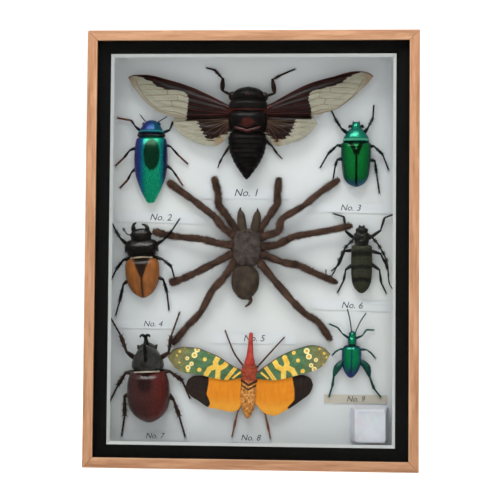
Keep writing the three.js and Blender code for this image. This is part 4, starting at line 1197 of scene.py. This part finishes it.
def longhorn_beetle():
    shape = Shape()
    shell, limb = range(2)
    head = [(18.2, 0), (17.6, 1.8), (16.6, 2.5), (15.2, 3), (13.6, 2.8), (12.6, 0)]
    shape.body(head, [(18.2, 1), (16, 2.8), (12.6, 2)], 3.2, 2.2, limb, 30)
    knobs = lambda x, y: 0.35 * np.cos(y * 1.9) * np.cos(x * 1.1)
    neck = [(15.6, 0), (15, 3), (14, 3.9), (12.2, 3.8), (9, 3.4), (7, 0)]
    shape.body(neck, [(15.6, 1.5), (12, 3.2), (7, 2.6)], 3.2, 2.4, limb, relief=knobs)
    wings = [
        (8.8, 0), (8.4, 4.4), (7.4, 5.2), (2.5, 5.3), (-4.1, 5.3), (-9.5, 4.9), (-12.8, 3.8), (-14.7, 2.3),
        (-15.9, 0),
    ]
    rise = [(8.8, 1.5), (6.5, 3.8), (-5, 3.8), (-12, 3), (-15.9, 0)]
    shape.body(wings, rise, 3.2, 2.6, shell, 80, 48, 0.75, seam(0.22))
    for way in (-1, 1):
        shape.ball((way * 2.4, 16, 4), (0.8, 1.1, 1), limb)
        shape.tube([(way * 1.1, 17.2, 4), (way * 1.1, 18.6, 4.4)], [0.6, 0.35], limb)
        shape.tube([(way * 3.4, 12.6, 3.4), (way * 4.7, 12.9, 3.4)], [0.7, 0.1], limb)
    for joints in (
        [(-2.5, 11, 2.5), (-8, 15.5, 2), (-9, 23, 1.5), (-14, 24.5, 1.2)],
        [(2.5, 11, 2.5), (9.5, 16, 3.5), (11.5, 22.5, 2.4), (16.5, 24.5, 1.2)],
        [(-3.5, 6, 2.5), (-8.5, 5.5, 3), (-11.5, -1.5, 1.6), (-15, -4.5, 1.2)],
        [(3.5, 6, 2.5), (9.5, 4.2, 3), (12, -0.5, 2), (13, -3.4, 1.2)],
        [(-3.5, -0.5, 2.5), (-8, -4, 3.5), (-9, -9.5, 2), (-12, -15.5, 1.2)],
        [(3.5, 0, 2.5), (9, -4, 3.5), (10, -10.5, 2), (12.5, -15.5, 1.2)],
    ):
        shape.leg(joints, [0.9, 0.65, 0.5], limb)
    for line in (
        [(-1.6, 15.5, 4), (-5, 10.5, 5), (-8, 7.5, 5), (-11, 1.5, 5), (-13.5, -4.5, 5), (-16, -7.5, 5),
         (-18, -6.5, 5),
         (-18, -4, 5)],
        [(1.6, 15.5, 4), (5.5, 12, 5), (8.5, 8.5, 5), (13, -1.5, 4), (14, -10.5, 3), (16, -14, 2.5)],
    ):
        t = np.linspace(0, 1, 90)
        thick = (0.62 - 0.3 * t) * (0.8 + 0.35 * (t * 9 % 1) ** 3)
        rings = shape.tube(along_line(line, 90), thick, limb)
        for joint in (20, 30, 40, 50):
            shape.fur(rings[joint - 5 : joint + 2], 110, 1.2, limb, 0.6, 0.06)
    looks = [longhorn_shell(), chitin("longhorn_limb", rgb(15, 14, 12), rgb(36, 35, 28), 0.5, 2.2)]
    make_piece("longhorn_beetle", shape, looks, on_tray(55.1, -5.6))


def rhinoceros_beetle():
    shape = Shape()
    shell, shield, limb, pale, horn = range(5)
    head = [(19.2, 0), (18.6, 2.2), (17.4, 3.9), (15.6, 4.7), (13, 0)]
    shape.body(head, [(19.2, 1.5), (16, 4), (13, 3)], 5, 3.5, shield, 30)
    stem = along_line([(0, 15.5, 6), (0, 19.6, 8.5), (0, 22.2, 11.2)], 20)
    shape.tube(stem, np.linspace(1.5, 0.9, 20), horn, 12)
    for way in (-1, 1):
        fork = [(0, 22, 11), (way * 1.4, 23, 12), (way * 2.3, 22.6, 12.5), (way * 2.4, 21.8, 12.7)]
        shape.tube(along_line(fork, 14), np.linspace(1.0, 0.35, 14), horn)
        shape.ball((way * 4.3, 16.4, 5.6), (0.9, 1, 1), limb)
        feeler = [(way * 3.4, 16.8, 4.8), (way * 4.6, 17.4, 4.8), (way * 5.2, 17.2, 4.8)]
        shape.tube(along_line(feeler, 10), np.linspace(0.35, 0.6, 10), limb)

    def ridge(x, y):
        spread = 1.1 + 0.12 * np.clip(14 - y, 0, 9)
        return 1.6 * np.exp(-((x / spread) ** 2)) * np.clip((y - 5) / 8, 0, 1)

    front = [
        (17.8, 0), (17, 2.6), (15.2, 4.9), (13.2, 6.2), (11.1, 7.4), (9.1, 8.1), (7.1, 8.2), (5.5, 7.2),
        (4.4, 0),
    ]
    shape.body(front, [(17.8, 3), (13, 7.6), (8, 8), (4.4, 6)], 5, 4.2, shield, 70, 60, relief=ridge)
    spine = along_line([(0, 8, 12.6), (0, 14, 14), (0, 17.5, 14.5), (0, 20, 14)], 24)
    shape.tube(spine, np.interp(np.linspace(0, 1, 24), [0, 0.3, 0.6, 1], [0.7, 1.1, 1.2, 0.5]), horn, 12)
    wings = [
        (4.9, 0), (4.2, 8.6), (2.5, 9.6), (-2.5, 10.7), (-6.6, 10.9), (-10.1, 10.7), (-13.7, 9.9),
        (-16.7, 8.3),
        (-19.2, 5.8), (-20.8, 3), (-21.6, 0),
    ]
    rise = [(4.9, 4), (0, 8), (-8, 8.6), (-16, 6.2), (-21.6, 0)]
    shape.body(wings, rise, 5, 4.4, shell, 90, 64, 0.85, seam(0.12))
    # Painted highlight: a pale tube along the joint of shield and wing cases stands in for the glint on that
    # edge.
    shape.tube(along_line([(-6.4, 4.2, 9.4), (0, 4.5, 12.4), (6.4, 4.4, 9.4)], 24), 0.4, pale, 8)
    for joints in (
        [(-5, 10, 4), (-10.5, 14.5, 6), (-13.5, 23, 5), (-19.5, 33, 1.5)],
        [(5, 10, 4), (11, 13.5, 7), (12.5, 22, 6.2), (16.5, 33.5, 1.5)],
        [(-5.5, 4, 3.5), (-11.5, 4, 5), (-16, -2.5, 3), (-20.5, -10.5, 1.3)],
        [(5.5, 4, 3.5), (11, 4, 4.5), (17, -1, 2.2), (20.5, -10, 1.3)],
        [(-8.5, -6.5, 3.5), (-12.5, -8, 4), (-13, -18, 2.5), (-15, -28, 1.3)],
        [(8.5, -6.5, 3.5), (12.5, -10.5, 4), (15, -19, 2.5), (17.5, -29.5, 1.3)],
    ):
        shape.leg(joints, [1.3, 1.05, 0.55], limb, spines=3)
    looks = [
        rhinoceros_shell(),
        chitin("rhinoceros_shield", rgb(34, 33, 32), rgb(62, 61, 58), 0.3, 2.2),
        chitin("rhinoceros_limb", rgb(26, 18, 16), rgb(58, 36, 28), 0.35, 2.0),
        # Look of the painted highlight tube.
        chitin("rhinoceros_painted_glint", rgb(140, 130, 116), rgb(184, 174, 158), 0.4),
        chitin("rhinoceros_horn", rgb(13, 12, 12), rgb(28, 26, 25), 0.3),
    ]
    make_piece("rhinoceros_beetle", shape, looks, on_tray(-52.7, -66.4, 2.3))


LANTERN_STROKES = [
    (0.95, [(7.35, 6.75), (9.6, 3.8), (12.2, 0.3)]),
    (1.3, [(16.8, 11.6), (18.15, 8.9), (17.8, 6.8), (16.15, 5.6)]),
    (1.3, [(12, 9.4), (13.3, 7.2), (15.2, 6.1), (16.15, 5.7)]), (1.3, [(17.8, 6.8), (21, 5.4), (22.6, 2.6)]),
    (1.3, [(16.6, 5.6), (16.6, 3.3), (16.7, 0.6)]), (0.5, [(5.5, 3.8), (8.8, 1)]),
]
LANTERN_RINGS = [(27.8, 15.1, 1.5), (29, 12.3, 1.5), (30.3, 7.9, 1.1), (32.6, 10.6, 1.0), (32, 5.9, 1.3)]
LANTERN_SPOTS = [
    (21.3, 14.1, 1.0), (23.6, 10.2, 1.0), (26.2, 4.9, 1.1), (32, 4.4, 0.9), (36.6, 14, 0.7),
    (34.2, 16.2, 0.6),
    (38, 12, 0.5), (36.5, 8.4, 0.5),
]
LANTERN_DARK = [
    [(-20.5, 4), (-20.5, -3), (-21.2, -8), (-19, -13), (-22, -17), (-36, -16), (-36, 4)],
    [(21, 6), (22, 2), (23.2, -4), (23.4, -9), (20, -13), (24, -16), (36, -14), (36, 6)],
]


def lantern_plan(points):
    """Both forewings folded onto one, seen from above."""
    return np.stack([np.abs(points[:, 0] - 0.8), points[:, 1] - 0.035 * points[:, 0]], axis=1)


def spots_gap(plan, spots):
    return np.min([np.hypot(plan[:, 0] - x, plan[:, 1] - y) - radius for x, y, radius in spots], axis=0)


def lantern_yellow(points):
    plan = lantern_plan(points)
    strokes = np.min([line_gap(plan, line) - half for half, line in LANTERN_STROKES], axis=0)
    return fade(np.minimum(strokes, spots_gap(plan, LANTERN_SPOTS)), 0.6)


def lantern_ring(points):
    return fade(spots_gap(lantern_plan(points), LANTERN_RINGS), 0.5)


def lantern_core(points):
    plan = lantern_plan(points)
    centres = spots_gap(plan, [(x, y, 0.5 * radius) for x, y, radius in LANTERN_RINGS])
    return fade(np.minimum(centres, line_gap(plan, LANTERN_STROKES[0][1]) - 0.3), 0.5)


def lantern_dark(points):
    return fade(np.min([outline_gap(points, area) for area in LANTERN_DARK], axis=0), 0.8)


def lanternfly():
    shape = Shape()
    fore, hind, snout, trunk, limb, eye, ray = range(7)
    horn = [(24.2, 0), (23.4, 1), (21.5, 1.1), (17.7, 1.3), (12.2, 1.8), (8.6, 2.7), (6, 0)]
    shape.body(horn, [(24.2, 0), (23, 1.2), (14, 1.8), (8, 2.8), (6, 2)], 4.4, 2, snout, 60, 24)

    def plates(x, y):
        first = np.exp(-(((y - 5.6) / 0.3) ** 2))
        second = np.exp(-(((y - 2.4 + 0.3 * abs(x)) / 0.3) ** 2))
        return -0.4 * first - 0.4 * second

    chest = [(9, 0), (8.2, 2.8), (7, 3.6), (4, 4.2), (-0.5, 4.2), (-3, 0)]
    shape.body(chest, [(9, 1.5), (5, 3.4), (-3, 2.4)], 4, 3.2, trunk, 70, relief=plates)
    tail = [(1, 0), (-0.6, 3.9), (-5, 4.1), (-10.1, 3.8), (-15.7, 2.6), (-18.4, 1.2), (-19.4, 0)]
    rise = [(1, 1.5), (-5, 3), (-14, 2.2), (-19.4, 0)]
    rings = shape.body(tail, rise, 3.8, 3, trunk, 90, steps=(2.2, 0.25))
    shape.fur(rings, 700, 0.6, trunk, 1.2, 0.05)
    leads = {
        -1: [
            (-2, 4), (-9.5, 7.2), (-14.5, 10.3), (-21, 13), (-27.5, 14.9), (-34, 15), (-39, 13.4),
            (-42, 9.5),
        ],
        1: [(2, 2.6), (7, 6.5), (11, 9.6), (15, 12.6), (25, 17.3), (31.5, 19), (36.5, 18.2), (40.5, 15)],
    }
    trails = {
        -1: [
            (-2, 1.5), (-12, -0.5), (-20.5, 0.6), (-25, 1.6), (-31.5, 1.8), (-35, 2.8), (-39, 5.6),
            (-42, 9.5),
        ],
        1: [(2, 1), (12, 0.5), (18, 1.6), (24, 3.5), (30, 5.4), (34.5, 7.2), (38, 10.2), (40.5, 15)],
    }
    rear_leads = {
        -1: [(-2, 3), (-20.5, 1.2), (-27.5, 0.8), (-31, -1.4), (-32.2, -5)],
        1: [(2, 2.5), (20.5, 3), (27, 3.8), (31, 2.4), (32.6, -1)],
    }
    rear_trails = {
        -1: [
            (-2, -9), (-5, -15.4), (-9, -16.5), (-14.5, -15.6), (-20, -14.8), (-25, -12), (-29.5, -9.3),
            (-32.2, -5),
        ],
        1: [(2, -9), (5.5, -13.5), (9, -16.4), (13.5, -17.3), (19, -14.6), (23, -12), (26.5, -9.2),
            (31.2, -5),
            (32.6, -1)],
    }
    for way in (-1, 1):
        back = shape.wing(rear_leads[way], rear_trails[way], 4.2, hind, pleats=0.06, camber=0.4)
        front = shape.wing(leads[way], trails[way], 5.2, fore, 200, 56, pleats=0.05, camber=0.6)
        shape.vein(front, leads[way], 0.22, limb)
        for x, y in rear_trails[way][1:-1]:
            reach = min(0.96, 19 / abs(x))
            line = [(way * 3, 0.5), (0.5 * reach * x, 0.5 * reach * y), (reach * x, reach * y)]
            shape.vein(back, line, 0.08, ray)
        shape.ball((way * 2.7, 7.2, 5.2), (0.9, 1.1, 1), eye)
        shape.tube([(way * 3.2, 5.2, 5.4), (way * 4, 4.4, 5.2)], [0.8, 0.6], snout)
    for line in (
        [(-2.5, 6, 3), (-8, 13, 3), (-13.5, 24.5, 1.2)], [(2.5, 5, 3), (7, 10.5, 3), (17, 22.5, 1.2)],
    ):
        shape.tube(along_line(line, 30), np.linspace(0.5, 0.34, 30), limb)
    shape.leg([(-2, -6.5, 3), (-5, -16, 2.5), (-6.8, -25, 1.6), (-7.5, -29, 1.2)], [0.75, 0.65, 0.45], eye)
    shape.leg([(2.5, -7, 3), (9, -17, 2.5), (11.2, -25.5, 1.6), (12, -29, 1.2)], [0.75, 0.65, 0.45], eye)
    looks = [
        lantern_forewing(),
        lantern_hindwing(),
        chitin("lantern_snout", rgb(150, 42, 34), rgb(184, 66, 54), 0.5),
        lantern_trunk(),
        chitin("lantern_limb", rgb(52, 34, 30), rgb(96, 54, 44), 0.5),
        chitin("lantern_eye", rgb(96, 56, 40), rgb(146, 90, 66), 0.4),
        chitin("lantern_ray", rgb(196, 106, 8), rgb(220, 128, 16), 0.6),
    ]
    marks = {"yellow": lantern_yellow, "ring": lantern_ring, "core": lantern_core, "dark": lantern_dark}
    make_piece("lanternfly", shape, looks, on_tray(-1.5, -65.9, -2.1), marks=marks)


def leaf_beetle():
    shape = Shape()
    shell, limb = range(2)
    head = [(12.1, 0), (11.7, 1.1), (11, 1.5), (9.8, 1.8), (8.4, 1.7), (7.6, 0)]
    shape.body(head, [(12.1, 0.8), (10, 2.2), (7.6, 1.8)], 3, 1.8, shell, 30)
    neck = [(9.9, 0), (9.4, 1.9), (8.4, 2.3), (6.6, 2.2), (5, 2), (3.8, 0)]
    shape.body(neck, [(9.9, 1), (7, 2.8), (3.8, 2.4)], 3, 2, shell, 36)
    wings = [
        (5.1, 0), (4.6, 3.6), (3.5, 4.5), (1.5, 4.9), (-1, 5), (-3.5, 4.85), (-5.6, 4.5), (-8.1, 3.6),
        (-10.1, 2.3),
        (-11.6, 0),
    ]
    rise = [(5.1, 1.5), (2.5, 3.6), (-3, 4.1), (-9, 2.6), (-11.6, 0)]
    shape.body(wings, rise, 3, 2.5, shell, 70, 48, relief=seam(0.2))
    for way in (-1, 1):
        shape.ball((way * 1.4, 10.6, 3.6), (0.55, 0.6, 0.6), limb)
    for joints in (
        [(-1, 8, 2.5), (-5, 10.5, 3.2), (-7.5, 13.5, 2), (-11.5, 15, 1.2)],
        [(1, 8, 2.5), (5, 10, 3.2), (7, 13, 2), (10.5, 13, 1.2)],
        [(-3, 3, 2.5), (-6, 2.6, 2.8), (-8.2, 1.2, 1.8), (-9.5, -0.5, 1.2)],
        [(3, 3, 2.5), (7.5, 3, 2.8), (10, 1.2, 1.8), (12, -1, 1.2)],
    ):
        shape.leg(joints, [0.65, 0.5, 0.5], limb)
    for hip, swell, knee, ankle, tip in (
        [(-3.5, -2.5, 2.5), (-7, -7, 3), (-8.5, -11, 2.5), (-9, -16, 1.8), (-10.5, -21.5, 1.2)],
        [(3.5, -2, 2.5), (8, -6, 3), (9.5, -10.5, 2.5), (12, -16.5, 1.8), (15.5, -20.5, 1.2)],
    ):
        thick = np.interp(np.linspace(0, 1, 30), [0, 0.25, 0.55, 0.8, 1], [0.8, 1.5, 1.95, 1.4, 0.7])
        shape.tube(along_line([hip, swell, knee], 30), thick, limb, 14)
        shape.limb(knee, ankle, 0.75, [0.7, 0.7, 0.8, 0.95, 1.05], limb)
        shape.foot(ankle, tip, 0.5, limb)
    for line in (
        [(-0.3, 10.5, 3.5), (-1.5, 17.5, 3.5), (-3, 23, 2.5)],
        [(1, 10.5, 3.5), (4, 17.5, 3.5), (6.5, 21.5, 2.5)],
    ):
        t = np.linspace(0, 1, 66)
        shape.tube(along_line(line, 66), 0.26 + 0.16 * (t * 11 % 1) ** 2, limb)
    looks = [leaf_shell(), chitin("leaf_limb", rgb(10, 40, 40), rgb(16, 78, 64), 0.28)]
    make_piece("leaf_beetle", shape, looks, on_tray(50.3, -52.7, -2))


# Assembly


def dress(node, look):
    """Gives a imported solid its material."""
    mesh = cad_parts[node].data
    mesh.materials.clear()
    mesh.materials.append(look)


def build_frame():
    looks = [wood("rail_wood", False), wood("rail_worn", True)]
    rail_piece("rail_bottom", WIDTH, (0, -HEIGHT / 2), 0, looks)
    rail_piece("rail_top", WIDTH, (0, HEIGHT / 2), 180, looks)
    rail_piece("rail_left", HEIGHT, (-WIDTH / 2, 0), -90, looks)
    rail_piece("rail_right", HEIGHT, (WIDTH / 2, 0), 90, looks)
    tray_piece()
    holder_piece()
    dress("glass", pane_glass())
    dress("mat_board", mat_card())
    dress("back_board", back_fibre())


def build_labels():
    """Nine strips: where each lies, its size and its lean in degrees."""
    ink = chitin("label_ink", rgb(26, 26, 34), rgb(42, 42, 52), 0.7)
    white, aged = paper("label_paper", rgb(204, 207, 210)), paper("label_aged", rgb(182, 175, 162))
    strips = [
        (-4, 29.4, 46, 6, 0), (-48, 16.6, 47.8, 5.4, -1.2), (49.4, 22, 44, 5, -1.2),
        (-51.4, -38.1, 40.8, 4.7, 0),
        (0.6, -45, 43, 5.2, 0), (50.4, -27.7, 40.5, 5.2, -1.5), (-49.8, -95.2, 36, 4.5, 0),
        (-0.7, -95.5, 21, 4.8, 0),
    ]
    for number, strip in enumerate(strips, 1):
        label_piece(number, *strip, "paper", [white, ink])
    label_piece(9, 52.5, -75.2, 32, 4.4, 0, "aged_paper", [aged, ink])


build_frame()
build_labels()
cicada()
jewel_beetle()
flower_beetle()
stag_beetle()
tarantula()
longhorn_beetle()
rhinoceros_beetle()
lanternfly()
leaf_beetle()


# Floor, light and camera, in metres

FLOOR_FRONT = -9
FLOOR_SIDE = 10
COVE_START = 0.9
COVE_RADIUS = 0.6
BACKDROP_HEIGHT = 4
FLOOR_GLOW = (0.4, 1.0)
GLOW_REACH = (1.2, 3.5)
WORLD_FILL = 0.15
AIM = (0, 0, 0.1)
# Each light: name, place, width and height, power in watts, whether shiny surfaces show it
LIGHTS = [
    ("key", (-0.15, -0.55, 1.0), (0.8, 0.6), 11.5, True),
    ("front", (0.12, -1.65, 0.25), (2.0, 1.2), 10, False),
    ("back", (0.9, 0.9, 1.0), (0.6, 0.6), 12, False),
]
CAMERA_PLACE = (0.0325, -0.615, 0.0846)
CAMERA_TURN_DEGREES = (92.207, -0.49, 3.121)
LENS_MM = 88.0
SENSOR_MM = 36.0


def add_floor():
    """A pale floor that curves up into the backdrop and whitens with the distance."""
    turns = np.linspace(0, math.pi / 2, 16)
    curve = [(COVE_START + COVE_RADIUS * math.sin(a), COVE_RADIUS - COVE_RADIUS * math.cos(a)) for a in turns]
    profile = [(FLOOR_FRONT, 0), *curve, (COVE_START + COVE_RADIUS, BACKDROP_HEIGHT)]
    points = [(x, y, z) for y, z in profile for x in (-FLOOR_SIDE, FLOOR_SIDE)]
    faces = [(2 * i, 2 * i + 1, 2 * i + 3, 2 * i + 2) for i in range(len(profile) - 1)]
    mesh = bpy.data.meshes.new("floor")
    mesh.from_pydata(points, [], faces)
    mesh.polygons.foreach_set("use_smooth", np.ones(len(faces), bool))
    look = Look("floor_white", Roughness=0.9, Specular_IOR_Level=0.0, Base_Color=(0.8, 0.8, 0.8, 1))
    metres = look.near(look.place(), (0, 0), (1 / MM, 1 / MM))
    glow = look.step(metres, *GLOW_REACH, *FLOOR_GLOW)
    mesh.materials.append(look.set(Emission_Color=(1, 1, 1, 1), Emission_Strength=glow))
    floor = bpy.data.objects.new("floor", mesh)
    bpy.context.collection.objects.link(floor)
    floor.visible_glossy = False


def add_light(name, place, size, power, glints):
    data = bpy.data.lights.new(name, "AREA")
    data.shape = "RECTANGLE"
    data.size, data.size_y = size
    data.energy = power
    lamp = bpy.data.objects.new(name, data)
    bpy.context.collection.objects.link(lamp)
    lamp.location = place
    lamp.visible_glossy = glints
    lamp.rotation_euler = (Vector(AIM) - lamp.location).to_track_quat("-Z", "Y").to_euler()


def add_world():
    """White where the camera sees it, a weak even fill elsewhere."""
    world = bpy.data.worlds.new("studio")
    world.use_nodes = True
    tree = world.node_tree
    seen = tree.nodes.new("ShaderNodeLightPath").outputs["Is Camera Ray"]
    power = tree.nodes.new("ShaderNodeMapRange")
    power.inputs["To Min"].default_value = WORLD_FILL
    tree.links.new(seen, power.inputs["Value"])
    tree.links.new(power.outputs[0], tree.nodes["Background"].inputs["Strength"])
    tree.nodes["Background"].inputs["Color"].default_value = (1, 1, 1, 1)
    world.cycles_visibility.glossy = False
    bpy.context.scene.world = world


def add_camera():
    data = bpy.data.cameras.new("camera")
    data.lens = LENS_MM
    data.sensor_width = SENSOR_MM
    camera = bpy.data.objects.new("camera", data)
    bpy.context.collection.objects.link(camera)
    camera.location = CAMERA_PLACE
    camera.rotation_euler = [math.radians(v) for v in CAMERA_TURN_DEGREES]
    bpy.context.scene.camera = camera


add_floor()
for light in LIGHTS:
    add_light(*light)
add_world()
add_camera()
bpy.context.scene.view_settings.view_transform = "Standard"
